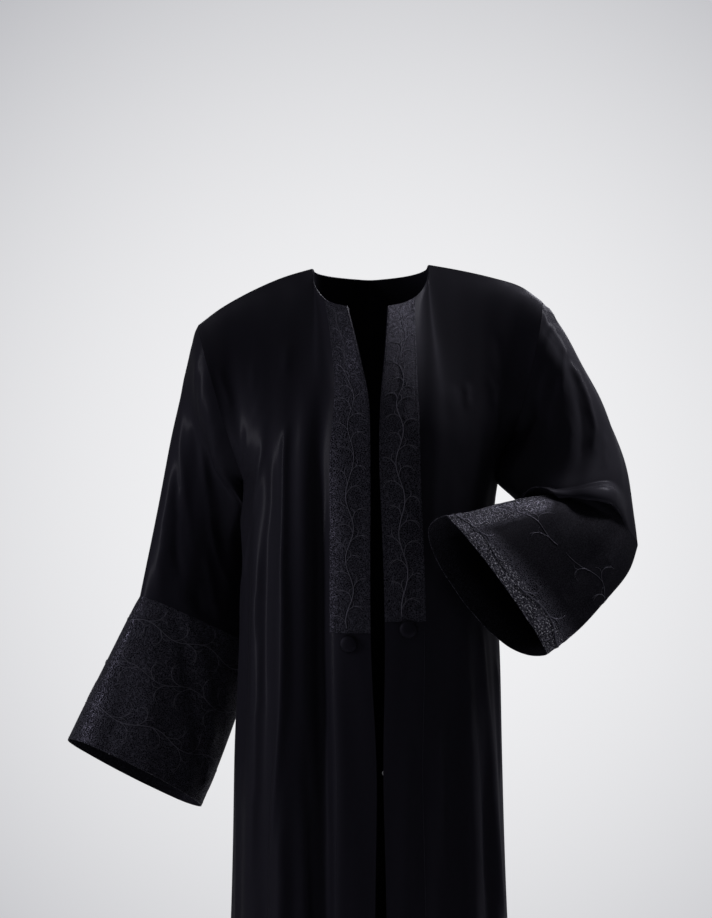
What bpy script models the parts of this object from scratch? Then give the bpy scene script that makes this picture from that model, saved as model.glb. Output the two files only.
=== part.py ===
"""An open-front abaya cloak in its worn, hollow form, in metres with +Z up.

The origin is the base of the neck, midway between the shoulders. The wearer faces -Y, so the
wearer's right is -X and the wearer's left is +X. The right arm hangs a little out from the body
and the left forearm is held across the waist.

Cut: one back, two fronts that meet edge to edge, two sleeves each ending in a deep flared cuff,
two straight bands on the front edges, two covered buttons and a press stud. Every cloth piece is
a closed wall, and two pieces that are sewn together stand SEAM_GAP apart along their seam.
"""

import math
from collections import namedtuple
from functools import lru_cache

import bpy
import numpy as np
from mathutils import Vector
from mathutils.bvhtree import BVHTree

# ----------------------------------------------------------------------------- driving sizes
CLOTH = 0.0016  # wall of the plain crepe
LACE = 0.0015  # wall of the jacquard bands
SEAM_GAP = 0.0003  # clear space between two sewn pieces
MITRE_LIMIT = 1.8  # longest corner offset at a sharp seam, in walls
SHARP_FOLD = 0.6  # cosine of half a turn that counts as the cloth turning back on itself

HEM_Z = -1.380
OPENING_X = 0.010  # the middle of the front opening
ROUNDNESS = 2.3  # exponent of the body's oval sections, 2 being an ellipse
SECTION_SAMPLES = 121  # points worked out along a quarter of a section

BAND_WIDTH = 0.051
BAND_COLUMNS = 3
NECK_COLUMNS = 6  # columns that end on the neckline, those of the band among them
FRONT_COLUMNS = 15
YOKE_ROWS = 8  # rows from the shoulder seam down to the underarm
EDGE_PULL_COLUMNS = 6  # columns past the band over which the yoke follows its front edge
ARMHOLE_PULL_COLUMNS = 9  # columns over which it follows the curve of the armhole

BUTTON_RADIUS = 0.0115
BUTTON_HEIGHT = 0.0045
BUTTON_SIDES = 28
STUD_RADIUS = 0.0040
STUD_HEIGHT = 0.0016
STUD_SIDES = 16
DOME_BASE = 0.93  # radius of the flat base, in radii
DOME_CHAMFER = 0.12  # height at which the side starts, in heights
DOME_SIDE = 0.35  # height at which the dome starts
DOME_STEPS = 5

RIGHT = -1
LEFT = 1
FRONT = "front"
BACK = "back"

# Half-widths and depths of the body, measured from the X = 0 and Y = 0 planes
Section = namedtuple("Section", "z right left front back")
SECTIONS = (
    Section(-0.190, 0.162, 0.172, 0.122, 0.110),
    Section(-0.250, 0.161, 0.163, 0.127, 0.111),
    Section(-0.300, 0.161, 0.156, 0.129, 0.111),
    Section(-0.430, 0.165, 0.166, 0.131, 0.115),
    Section(-0.525, 0.170, 0.169, 0.132, 0.122),
    Section(-0.610, 0.173, 0.171, 0.134, 0.131),
    Section(-0.740, 0.175, 0.175, 0.138, 0.139),
    Section(-0.950, 0.184, 0.184, 0.147, 0.151),
    Section(-1.150, 0.194, 0.194, 0.157, 0.163),
    Section(HEM_Z, 0.206, 0.206, 0.168, 0.176),
)

# Where the two front edges run
EdgeRow = namedtuple("EdgeRow", "z right left")
FRONT_EDGES = (
    EdgeRow(-0.012, -0.027, 0.023),
    EdgeRow(-0.070, -0.013, 0.019),
    EdgeRow(-0.127, -0.001, 0.014),
    EdgeRow(-0.200, 0.001, 0.012),
    EdgeRow(-0.330, 0.001, 0.017),
    EdgeRow(-0.440, 0.002, 0.019),
    EdgeRow(-0.590, 0.009, 0.017),
    EdgeRow(-0.770, 0.013, 0.021),
    EdgeRow(HEM_Z, 0.011, 0.022),
)

# Levels of the rows below the yoke, from the underarm to the hem. Each front hangs lower or
# higher than the middle by the drop of its row, as the right shoulder is the lower one.
Level = namedtuple("Level", "z drop")
LEVELS = (
    Level(-0.2125, 0.0205),
    Level(-0.285, 0.019),
    Level(-0.355, 0.013),
    Level(-0.411, 0.007),
    Level(-0.490, 0.003),
    Level(-0.580, 0.000),
    Level(-0.680, 0.000),
    Level(-0.780, 0.000),
    Level(-0.880, 0.000),
    Level(-0.985, 0.000),
    Level(-1.090, 0.000),
    Level(-1.190, 0.000),
    Level(-1.290, 0.000),
    Level(HEM_Z, 0.000),
)
BAND_FOOT_LEVEL = 3  # the row of LEVELS at which the bands end

# The largest folds: a positive height is a ridge, a negative one a trough. Each runs from x_top
# at z_top to x_low at the hem, and grows to its full height over the distance "rise".
Fold = namedtuple("Fold", "face x_top x_low z_top rise width height")
FOLDS = (
    Fold(FRONT, -0.060, -0.064, -0.06, 0.30, 0.013, -0.016),
    Fold(FRONT, -0.105, -0.124, -0.14, 0.30, 0.017, 0.010),
    Fold(FRONT, -0.136, -0.152, -0.14, 0.30, 0.015, 0.008),
    Fold(FRONT, -0.122, -0.138, -0.20, 0.40, 0.010, -0.007),
    Fold(FRONT, 0.104, 0.090, -0.34, 0.40, 0.020, -0.009),
    Fold(FRONT, 0.124, 0.132, -0.34, 0.30, 0.014, 0.009),
    Fold(FRONT, 0.144, 0.178, -0.34, 0.30, 0.013, 0.008),
    Fold(BACK, -0.122, -0.150, -0.26, 0.45, 0.022, 0.012),
    Fold(BACK, -0.084, -0.102, -0.20, 0.40, 0.018, -0.012),
    Fold(BACK, -0.040, -0.050, -0.16, 0.45, 0.022, 0.011),
    Fold(BACK, 0.004, 0.010, -0.30, 0.45, 0.020, -0.013),
    Fold(BACK, 0.052, 0.064, -0.18, 0.40, 0.024, 0.012),
    Fold(BACK, 0.094, 0.112, -0.24, 0.45, 0.017, -0.010),
    Fold(BACK, 0.128, 0.158, -0.30, 0.40, 0.020, 0.010),
)

# The shoulder seam from the neck to the armhole, and the underarm
SHOULDER_SEAM = {
    RIGHT: (
        (-0.073, 0.012, 0.041),
        (-0.112, 0.009, 0.029),
        (-0.152, 0.005, 0.011),
        (-0.189, 0.002, -0.010),
        (-0.218, 0.000, -0.032),
    ),
    LEFT: (
        (0.077, 0.012, 0.046),
        (0.115, 0.009, 0.039),
        (0.154, 0.005, 0.030),
        (0.193, 0.002, 0.018),
        (0.220, 0.000, -0.001),
    ),
}
UNDERARM = {RIGHT: (-0.159, 0.000, -0.233), LEFT: (0.174, 0.000, -0.192)}
ARMHOLE_FRONT_REACH = 0.056
ARMHOLE_BACK_REACH = 0.060
ARMHOLE_FRONT_BOW = {RIGHT: 0.002, LEFT: 0.006}
ARMHOLE_BACK_BOW = -0.006

NECK_FRONT_Y = -0.068
NECK_BACK = (0.002, 0.066, 0.030)
NECK_FULLNESS = 0.55  # how round the neckline is between its corners
NECK_RISE = 0.15  # how far its middle has risen towards the shoulder
BAND_NECK_SHARE = 0.40  # how far along the front neckline the band's outer edge meets it

# The forward share of the way the cloth leaves its top edge, the rest of it being downward
FORWARD_AT_CENTRE = 0.62
FORWARD_AT_NECK = 0.60
FORWARD_AT_TIP = 0.55
LEAVE_PULL = 1.05  # strength of the leaving direction, in spans of the yoke
ARRIVE_PULL = 0.95  # strength of the vertical fall at the foot of the yoke
FOLD_FADE = 0.5  # share of the yoke over which its folds fade in

# Each sleeve as rings: the outer and the inner end of a ring's chord, how far the cloth stands
# off that chord in front (near) and behind (far), the heading of its front side in degrees
# turned from straight ahead towards the wearer's left, how far its middle bows off the body, and
# how far in degrees the cloth has turned round the arm
Ring = namedtuple("Ring", "outer inner near far heading bow twist")
SLEEVE_RINGS = {
    RIGHT: (
        Ring((-0.2230, 0.002, -0.044), (-0.1710, 0.006, -0.2370), 0.056, 0.059, 0, 0.008, 0),
        Ring((-0.2270, 0.004, -0.062), (-0.1720, 0.020, -0.253), 0.053, 0.056, 0, 0.010, 0),
        Ring((-0.2325, 0.007, -0.087), (-0.1655, 0.038, -0.277), 0.049, 0.052, 2, 0.009, 0),
        Ring((-0.2405, 0.010, -0.122), (-0.1570, 0.058, -0.306), 0.045, 0.047, 6, 0.006, 0),
        Ring((-0.2520, 0.012, -0.173), (-0.1530, 0.075, -0.339), 0.042, 0.043, 12, 0.003, 0),
        Ring((-0.2640, 0.014, -0.237), (-0.1500, 0.086, -0.375), 0.038, 0.040, 20, 0.0, 0),
        Ring((-0.2780, 0.018, -0.306), (-0.1460, 0.094, -0.415), 0.035, 0.037, 26, 0.0, 0),
        Ring((-0.2940, 0.022, -0.380), (-0.1410, 0.099, -0.459), 0.033, 0.035, 30, 0.0, 0),
    ),
    LEFT: (
        Ring((0.2285, 0.003, -0.012), (0.1860, -0.005, -0.197), 0.056, 0.059, 2, 0.012, 6),
        Ring((0.2475, 0.008, -0.040), (0.1870, -0.016, -0.209), 0.056, 0.057, 6, 0.016, 14),
        Ring((0.2680, 0.014, -0.081), (0.1805, -0.030, -0.222), 0.054, 0.055, 14, 0.015, 26),
        Ring((0.2905, 0.020, -0.121), (0.1740, -0.046, -0.233), 0.052, 0.055, 24, 0.010, 38),
        Ring((0.3085, 0.024, -0.162), (0.1715, -0.058, -0.240), 0.051, 0.057, 38, 0.005, 52),
        Ring((0.3240, 0.024, -0.207), (0.1770, -0.067, -0.243), 0.050, 0.060, 54, 0.0, 66),
        Ring((0.3325, 0.018, -0.259), (0.1930, -0.073, -0.245), 0.042, 0.064, 70, 0.0, 80),
        Ring((0.3420, 0.005, -0.320), (0.2140, -0.080, -0.248), 0.026, 0.066, 88, 0.0, 90),
    ),
}
CUFF_RINGS = {
    RIGHT: (
        Ring((-0.3180, 0.022, -0.429), (-0.1630, 0.095, -0.510), 0.040, 0.041, 31, 0.0, 0),
        Ring((-0.3420, 0.020, -0.477), (-0.1810, 0.088, -0.559), 0.047, 0.048, 32, 0.0, 0),
        Ring((-0.3650, 0.018, -0.522), (-0.2000, 0.079, -0.610), 0.053, 0.054, 32, 0.0, 0),
        Ring((-0.3850, 0.015, -0.563), (-0.2200, 0.068, -0.657), 0.059, 0.060, 32, 0.0, 0),
    ),
    LEFT: (
        Ring((0.3280, -0.025, -0.348), (0.1900, -0.110, -0.253), 0.024, 0.064, 84, 0.0, 90),
        Ring((0.2990, -0.058, -0.379), (0.1580, -0.143, -0.259), 0.020, 0.062, 77, 0.0, 90),
        Ring((0.2600, -0.095, -0.416), (0.1220, -0.180, -0.267), 0.015, 0.060, 68, 0.0, 90),
        Ring((0.2170, -0.130, -0.445), (0.0890, -0.215, -0.271), 0.012, 0.059, 60, 0.0, 90),
    ),
}

CUFF_FULLNESS = 0.72  # how square the far side of a cuff is, 1 being an ellipse

# The bent arm's crook, round which the packed folds of the sleeve are eased
CROOK = (0.196, -0.048, -0.241)
CROOK_REACH = 0.070
CROOK_PASSES = 5

# Centres of the covered buttons and of the press stud on the fronts
Button = namedtuple("Button", "side x z on_band")
BUTTONS = {
    "button_right": Button(RIGHT, -0.0256, -0.4312, False),
    "button_left": Button(LEFT, 0.0478, -0.4132, True),
}
STUD_EDGE_INSET = 0.0025
STUD_Z = -0.590
SEAT_SAMPLES = 16  # places round a button's rim where the cloth under it is felt

# A slanted direction, along which both walls of a seam cut their end faces alike
EDGE_ORDER = np.array([0.90, 0.37, 0.21])

# The edges of each kind of piece that are sewn to a neighbour
SEWN_EDGES = {
    "back": ("top", "start", "end"),
    "front": ("top", "end"),
    "sleeve": ("top", "bottom"),
    "cuff": ("top",),
}

SHARP_EDGE = math.radians(50)  # cloth walls and buttons are shaded smooth up to this angle

# Name, colour, roughness and metallic value of each material
CREPE = ("black_crepe", (0.006, 0.006, 0.008), 0.62, 0.0)
JACQUARD = ("black_jacquard", (0.010, 0.010, 0.011), 0.42, 0.0)
STEEL = ("press_stud_steel", (0.60, 0.60, 0.62), 0.30, 1.0)


# ----------------------------------------------------------------------------- small helpers
def clear_scene():
    for item in list(bpy.data.objects):
        bpy.data.objects.remove(item, do_unlink=True)


def word_for(side):
    return "right" if side == RIGHT else "left"


def unit(vector):
    length = float(np.linalg.norm(vector))
    return vector / length if length > 1e-12 else vector


def smooth_step(value):
    value = min(max(value, 0.0), 1.0)
    return value * value * (3.0 - 2.0 * value)


def table_value(rows, column, z):
    """A smooth value of one column of a table whose rows go down in z."""
    heights = [row.z for row in rows]
    values = [getattr(row, column) for row in rows]
    if z >= heights[0]:
        return values[0]
    if z <= heights[-1]:
        return values[-1]
    last = len(rows) - 1
    low = next(i for i in range(last) if heights[i + 1] <= z)
    span = heights[low + 1] - heights[low]
    before, after = max(low - 1, 0), min(low + 2, last)
    slope_here = (values[low + 1] - values[before]) / (heights[low + 1] - heights[before])
    slope_next = (values[after] - values[low]) / (heights[after] - heights[low])
    t = (z - heights[low]) / span
    return (
        (2 * t**3 - 3 * t**2 + 1) * values[low]
        + (t**3 - 2 * t**2 + t) * span * slope_here
        + (3 * t**2 - 2 * t**3) * values[low + 1]
        + (t**3 - t**2) * span * slope_next
    )


def curve_point(points, t):
    """A point at t from 0 to 1 on a smooth curve through evenly spaced points."""
    points = [np.array(p, float) for p in points]
    place = min(max(t, 0.0), 1.0) * (len(points) - 1)
    low = min(int(place), len(points) - 2)
    t = place - low
    before, after = points[max(low - 1, 0)], points[min(low + 2, len(points) - 1)]
    here, following = points[low], points[low + 1]
    return 0.5 * (
        2 * here
        + (following - before) * t
        + (2 * before - 5 * here + 4 * following - after) * t**2
        + (3 * here - before - 3 * following + after) * t**3
    )


# ----------------------------------------------------------------------------- body sections
@lru_cache(maxsize=None)
def quarter(z, side, face):
    """Arc length, x, y and outward normal along one quarter of the section, centre to side."""
    width = table_value(SECTIONS, word_for(side), z) - side * OPENING_X
    depth = table_value(SECTIONS, face, z)
    angle = np.linspace(0.0, math.pi / 2, SECTION_SAMPLES)
    power = 2.0 / ROUNDNESS
    across = np.sin(angle) ** power
    out = np.cos(angle) ** power
    facing = -1.0 if face == FRONT else 1.0
    x = OPENING_X + side * width * across
    y = facing * depth * out
    normal_x = side * across ** (ROUNDNESS - 1) / width
    normal_y = facing * out ** (ROUNDNESS - 1) / depth
    size = np.hypot(normal_x, normal_y)
    arc = np.concatenate([[0.0], np.cumsum(np.hypot(np.diff(x), np.diff(y)))])
    return arc, x, y, normal_x / size, normal_y / size


def girth(z, side, place):
    """Distance round the body from the centre back. Place is 0 at the centre front, 1 at the
    side seam and 2 at the centre back."""
    front_arc = quarter(z, side, FRONT)[0][-1]
    back_arc = quarter(z, side, BACK)[0][-1]
    if place >= 1.0:
        return side * back_arc * (2.0 - place)
    return side * (back_arc + front_arc * (1.0 - place))


def fold_height(z, distance):
    """How far the folds push the cloth out at a level and a distance round the body."""
    total = 0.0
    for fold in FOLDS:
        strength = smooth_step((fold.z_top - z) / fold.rise)
        if strength == 0.0:
            continue
        down = (fold.z_top - z) / (fold.z_top - HEM_Z)
        x = fold.x_top + (fold.x_low - fold.x_top) * down
        side = RIGHT if x < OPENING_X else LEFT
        arc, xs = quarter(z, side, fold.face)[:2]
        along = float(np.interp(abs(x - OPENING_X), np.abs(xs - OPENING_X), arc)) / arc[-1]
        centre = girth(z, side, along if fold.face == FRONT else 2.0 - along)
        total += fold.height * strength * math.exp(-(((distance - centre) / fold.width) ** 2))
    return total


def body_point(z, side, place):
    """A point of the body's outer surface, folds included."""
    z = round(z, 6)
    face = FRONT if place < 1.0 else BACK
    arc, xs, ys, normal_x, normal_y = quarter(z, side, face)
    along = (place if face == FRONT else 2.0 - place) * arc[-1]
    height = fold_height(z, girth(z, side, place))
    x = np.interp(along, arc, xs) + height * np.interp(along, arc, normal_x)
    y = np.interp(along, arc, ys) + height * np.interp(along, arc, normal_y)
    return np.array([x, y, z])


def front_place(z, side, column):
    """Where a column of a front lies round the body: the band's width, then even steps."""
    z = round(z, 6)
    total = quarter(z, side, FRONT)[0][-1]
    edge = abs(table_value(FRONT_EDGES, word_for(side), z) - OPENING_X)
    if column <= BAND_COLUMNS:
        arc = edge + BAND_WIDTH * column / BAND_COLUMNS
    else:
        step = (column - BAND_COLUMNS) / (FRONT_COLUMNS - BAND_COLUMNS)
        arc = edge + BAND_WIDTH + (total - edge - BAND_WIDTH) * step
    return arc / total


# ----------------------------------------------------------------------------- top edges
def neck_curve(corner, side_neck, t):
    """A round neckline from a corner on the centre line out to the neck end of the shoulder."""
    corner, side_neck = np.array(corner), np.array(side_neck)
    control = corner + (side_neck - corner) * np.array([1.0, NECK_FULLNESS, NECK_RISE])
    return (1 - t) ** 2 * corner + 2 * t * (1 - t) * control + t**2 * side_neck


def armhole_point(side, face, row):
    """The armhole's edge at a row of the yoke, from the shoulder tip to the underarm."""
    tip, low = np.array(SHOULDER_SEAM[side][-1]), np.array(UNDERARM[side])
    angle = math.pi * row / YOKE_ROWS
    down = (1.0 - math.cos(angle)) / 2.0
    if face == FRONT:
        bow, reach = ARMHOLE_FRONT_BOW[side], -ARMHOLE_FRONT_REACH
    else:
        bow, reach = ARMHOLE_BACK_BOW, ARMHOLE_BACK_REACH
    swell = math.sin(angle)
    return tip + (low - tip) * down + np.array([side * bow * swell, reach * swell, 0.0])


def top_point(side, face, column):
    """The top edge of a front, or of half the back: the neckline, then the shoulder seam."""
    if column > NECK_COLUMNS:
        step = (column - NECK_COLUMNS) / (FRONT_COLUMNS - NECK_COLUMNS)
        return curve_point(SHOULDER_SEAM[side], step)
    if face == BACK:
        return neck_curve(NECK_BACK, SHOULDER_SEAM[side][0], column / NECK_COLUMNS)
    corner = (getattr(FRONT_EDGES[0], word_for(side)), NECK_FRONT_Y, FRONT_EDGES[0].z)
    share = np.interp(column, (0, BAND_COLUMNS, NECK_COLUMNS), (0.0, BAND_NECK_SHARE, 1.0))
    return neck_curve(corner, SHOULDER_SEAM[side][0], float(share))


def fall_direction(face, column):
    """The way the cloth leaves the top edge, forward or back over the shoulder and down."""
    facing = -1.0 if face == FRONT else 1.0
    neck = min(1.0, column / NECK_COLUMNS)
    shoulder = max((column - NECK_COLUMNS) / (FRONT_COLUMNS - NECK_COLUMNS), 0.0)
    forward = FORWARD_AT_CENTRE + (FORWARD_AT_NECK - FORWARD_AT_CENTRE) * neck
    forward += (FORWARD_AT_TIP - FORWARD_AT_NECK) * shoulder
    return np.array([0.0, facing * forward, -math.sqrt(1.0 - forward**2)])


# ----------------------------------------------------------------------------- cloth surfaces
def yoke_point(top, foot, direction, t, distance):
    """A smooth fall from the top edge, leaving it along direction, to the first section."""
    span = float(np.linalg.norm(foot - top))
    leave = direction * span * LEAVE_PULL
    arrive = np.array([0.0, 0.0, -1.0]) * span * ARRIVE_PULL
    point = (
        (2 * t**3 - 3 * t**2 + 1) * top
        + (t**3 - 2 * t**2 + t) * leave
        + (3 * t**2 - 2 * t**3) * foot
        + (t**3 - t**2) * arrive
    )
    away = unit(np.array([foot[0] - OPENING_X, foot[1], 0.0]))
    return point + away * fold_height(round(float(point[2]), 6), distance) * smooth_step(t / FOLD_FADE)


def body_column(side, face, column, drop_share, place_at):
    """Outer points of one column, from its top edge to the hem."""
    level = round(LEVELS[0].z + LEVELS[0].drop * drop_share, 6)
    foot = body_point(level, side, place_at(level))
    distance = girth(level, side, place_at(level))
    away = unit(np.array([foot[0] - OPENING_X, foot[1], 0.0]))
    flat_foot = foot - away * fold_height(level, distance)
    top = top_point(side, face, column)
    direction = fall_direction(face, column)
    points = []
    for row in range(YOKE_ROWS):
        even, round_hole = row / YOKE_ROWS, (1.0 - math.cos(math.pi * row / YOKE_ROWS)) / 2.0
        t = even + (round_hole - even) * (column / FRONT_COLUMNS) ** 2
        points.append(yoke_point(top, flat_foot, direction, t, distance))
    points.append(foot)
    for row in LEVELS[1:]:
        z = round(row.z + row.drop * drop_share, 6)
        points.append(body_point(z, side, place_at(z)))
    return points


def pull_to_armhole(columns, side, face):
    """Moves the yoke so that its last column is the armhole's edge. The columns next to it
    follow in part."""
    for row in range(YOKE_ROWS + 1):
        shift = armhole_point(side, face, row) - columns[-1][row]
        for step in range(ARMHOLE_PULL_COLUMNS):
            share = (1.0 - step / ARMHOLE_PULL_COLUMNS) ** 2
            columns[-1 - step][row] = columns[-1 - step][row] + shift * share


def front_surface(side):
    """Rows by columns of a front's outer points, from its edge to the armhole and side seam."""
    columns = [
        body_column(side, FRONT, column, side, lambda z, c=column: front_place(z, side, c))
        for column in range(FRONT_COLUMNS + 1)
    ]
    for row in range(YOKE_ROWS):
        edge = columns[0][row]
        shift = table_value(FRONT_EDGES, word_for(side), float(edge[2])) - float(edge[0])
        for column in range(BAND_COLUMNS + EDGE_PULL_COLUMNS):
            share = min(1.0, 1.0 - (column - BAND_COLUMNS) / EDGE_PULL_COLUMNS)
            columns[column][row][0] += shift * share
    pull_to_armhole(columns, side, FRONT)
    return np.array(columns).transpose(1, 0, 2)


def back_surface():
    """Rows by columns of the back's outer points, from the right side seam to the left one."""
    halves = {}
    for side in (RIGHT, LEFT):
        halves[side] = []
        for column in range(FRONT_COLUMNS + 1):
            share = side * math.sin(math.pi / 2 * column / FRONT_COLUMNS)
            place = 2.0 - column / FRONT_COLUMNS
            halves[side].append(body_column(side, BACK, column, share, lambda z, p=place: p))
        pull_to_armhole(halves[side], side, BACK)
    return np.array(halves[RIGHT][:0:-1] + halves[LEFT]).transpose(1, 0, 2)


def ring_points(ring, side, fullness):
    """One closed ring: the front half from the outer to the inner end, then the back half."""
    outer, inner = np.array(ring.outer), np.array(ring.inner)
    middle, half = (outer + inner) / 2, (outer - inner) / 2
    turn = math.radians(ring.heading)
    toward = np.array([math.sin(turn), -math.cos(turn), 0.0])
    toward = unit(toward - unit(half) * float(np.dot(toward, unit(half))))
    off_body = unit(np.cross(toward, half))
    off_body = off_body if off_body[0] * side > 0 else -off_body
    points = []
    for step in range(2 * YOKE_ROWS):
        angle = (math.pi * step / YOKE_ROWS + math.radians(ring.twist)) % (2 * math.pi)
        swell = math.sin(angle)
        reach = ring.near * swell if swell >= 0 else -ring.far * (-swell) ** fullness
        point = middle + half * math.cos(angle) + toward * reach
        points.append(point + off_body * ring.bow * swell**2)
    return points


def sleeve_surface(side):
    """All the rings of one arm, from the armhole's edge to the hem of the cuff."""
    front = [armhole_point(side, FRONT, row) for row in range(YOKE_ROWS + 1)]
    back = [armhole_point(side, BACK, row) for row in range(YOKE_ROWS + 1)]
    rings = [front + back[-2:0:-1]]
    rings += [ring_points(ring, side, 1.0) for ring in SLEEVE_RINGS[side]]
    rings += [ring_points(ring, side, CUFF_FULLNESS) for ring in CUFF_RINGS[side]]
    return ease_folds(np.array(rings))


def ease_folds(grid):
    """Moves the points near the crook towards the middle of their neighbours."""
    for _ in range(CROOK_PASSES):
        away = np.linalg.norm(grid[1:-1] - np.array(CROOK), axis=2) / CROOK_REACH
        share = np.array([[smooth_step(1.0 - a) for a in row] for row in away])[:, :, None]
        around = np.roll(grid, 1, axis=1) + np.roll(grid, -1, axis=1)
        middle = (around[1:-1] + grid[:-2] + grid[2:]) / 4.0
        grid[1:-1] += (middle - grid[1:-1]) * share
    return grid


# ----------------------------------------------------------------------------- walls
# A cloth piece: rows by columns of outer points, whether its columns close into a ring, and
# whether its rows and columns turn the other way, so that its faces have to be reversed
Surface = namedtuple("Surface", "grid closed reversed")


def grid_triangles(surface):
    """Triangles of a grid of points, all cut along the same diagonal, facing out."""
    rows, columns = surface.grid.shape[:2]
    triangles = []
    for row in range(rows - 1):
        for column in range(columns if surface.closed else columns - 1):
            following = (column + 1) % columns
            a, b = row * columns + column, row * columns + following
            c, d = a + columns, b + columns
            triangles += [(a, c, b), (b, c, d)]
    if surface.reversed:
        triangles = [(a, c, b) for a, b, c in triangles]
    return triangles


def point_key(point):
    return tuple(round(float(value), 5) for value in point)


def mitre_offsets(surfaces):
    """An inward offset for every point, shared by the pieces that meet there, long enough that
    the walls on both sides of a fold or seam keep about their thickness. Where the cloth turns
    back on itself, its normals cancel out, and the offset follows the fold's own middle."""
    normals, spokes = {}, {}
    for surface in surfaces:
        flat = surface.grid.reshape(-1, 3)
        for triangle in grid_triangles(surface):
            corners = flat[list(triangle)]
            normal = np.cross(corners[1] - corners[0], corners[2] - corners[0])
            for corner in corners:
                key = point_key(corner)
                weight = math.sqrt(float(np.linalg.norm(normal)))
                normals.setdefault(key, []).append(unit(normal) * weight)
                spokes.setdefault(key, []).append(unit(corners.mean(axis=0) - corner) * weight)
    offsets = {}
    for key, gathered in normals.items():
        outward = unit(sum(gathered))
        share = sum(abs(float(np.dot(outward, unit(n)))) for n in gathered) / len(gathered)
        if share < SHARP_FOLD:
            middle = unit(sum(spokes[key]))
            outward = middle if float(np.dot(sum(gathered), middle)) > 0 else -middle
        offsets[key] = -outward / max(share, 1.0 / MITRE_LIMIT)
    return offsets


def seam_shift(grid, inward, row, column, along_row):
    """The move of an edge point into its own piece, square to the seam and to the wall's end."""
    rows, columns = grid.shape[:2]
    here = grid[row, column]
    if along_row:
        inner = grid[row + 1 if row == 0 else row - 1, column]
        before = column - 1 if column else 0
        after = min(column + 1, columns - 1)
        tangent = grid[row, after] - grid[row, before]
    else:
        inner = grid[row, column + 1 if column == 0 else column - 1]
        tangent = grid[min(row + 1, rows - 1), column] - grid[max(row - 1, 0), column]
    tangent, inward = unit(tangent), unit(inward)
    way = inner - here
    way = way - tangent * float(np.dot(way, tangent))
    return unit(way - inward * float(np.dot(way, inward))) * SEAM_GAP / 2


def wall_layers(surface, offsets, sewn):
    """Outer and inner points of a wall, drawn back from its sewn edges."""
    grid = surface.grid
    rows, columns = grid.shape[:2]
    outer, inner = grid.copy(), grid.copy()
    for row in range(rows):
        for column in range(columns):
            inward = offsets[point_key(grid[row, column])]
            shift = np.zeros(3)
            if ("top" in sewn and row == 0) or ("bottom" in sewn and row == rows - 1):
                shift += seam_shift(grid, inward, row, column, True)
            if ("start" in sewn and column == 0) or ("end" in sewn and column == columns - 1):
                shift += seam_shift(grid, inward, row, column, False)
            outer[row, column] += shift
            inner[row, column] += shift + inward * CLOTH
    return outer, inner


def raised_layers(surface, offsets, low, high):
    """Outer and inner points of a wall that lies on a surface, from low to high above it."""
    outward = np.array([[-offsets[point_key(point)] for point in row] for row in surface.grid])
    return surface.grid + outward * high, surface.grid + outward * low


def wall_mesh(name, surface, outer, inner):
    """A closed wall between two like grids of points."""
    rows, columns = outer.shape[:2]
    count = rows * columns
    faces = grid_triangles(surface)
    faces += [(c + count, b + count, a + count) for a, b, c in faces]
    edges = []
    for column in range(columns if surface.closed else columns - 1):
        following = (column + 1) % columns
        last = (rows - 1) * columns
        edges.append((column, following))
        edges.append((last + following, last + column))
    if not surface.closed:
        for row in range(rows - 1):
            edges.append(((row + 1) * columns, row * columns))
            edges.append(((row + 1) * columns - 1, (row + 2) * columns - 1))
    points = np.concatenate([outer.reshape(-1, 3), inner.reshape(-1, 3)])
    for a, b in edges:
        if float(np.dot(points[a] - points[b], EDGE_ORDER)) < 0:
            side = [(a, b, b + count), (a, b + count, a + count)]
        else:
            side = [(a, b, a + count), (b, b + count, a + count)]
        faces += [tuple(reversed(f)) for f in side] if surface.reversed else side
    mesh = bpy.data.meshes.new(name)
    mesh.from_pydata([tuple(p) for p in points], [], faces)
    mesh.update()
    mesh.shade_smooth()
    mesh.set_sharp_from_angle(angle=SHARP_EDGE)
    return mesh


# ----------------------------------------------------------------------------- small hard pieces
def cloth_tree(surface, points):
    flat = [Vector(p) for p in points.reshape(-1, 3)]
    return BVHTree.FromPolygons(flat, grid_triangles(surface))


def seat_on(trees, x, z, radius, facing):
    """Centre and normal of a flat round seat that just clears the cloth under it."""
    start = Vector((x, -facing, z))
    centre = trees[0].ray_cast(start, Vector((0, facing, 0)))[0]
    turns = [2 * math.pi * step / SEAT_SAMPLES for step in range(SEAT_SAMPLES)]
    rim = []
    for tree in trees:
        for turn in turns:
            across = Vector((radius * math.cos(turn), 0, radius * math.sin(turn)))
            found = tree.ray_cast(start + across, Vector((0, facing, 0)))[0]
            if found is not None:
                rim.append(found)
    first = [point - centre for point in rim[:SEAT_SAMPLES]]
    turned = [first[i].cross(first[(i + 1) % len(first)]) for i in range(len(first))]
    normal = sum(turned, Vector((0, 0, 0))).normalized()
    if normal.y * facing > 0:
        normal = -normal
    lift = max([0.0] + [(point - centre).dot(normal) for point in rim])
    return centre + normal * (lift + SEAM_GAP), normal


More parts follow.
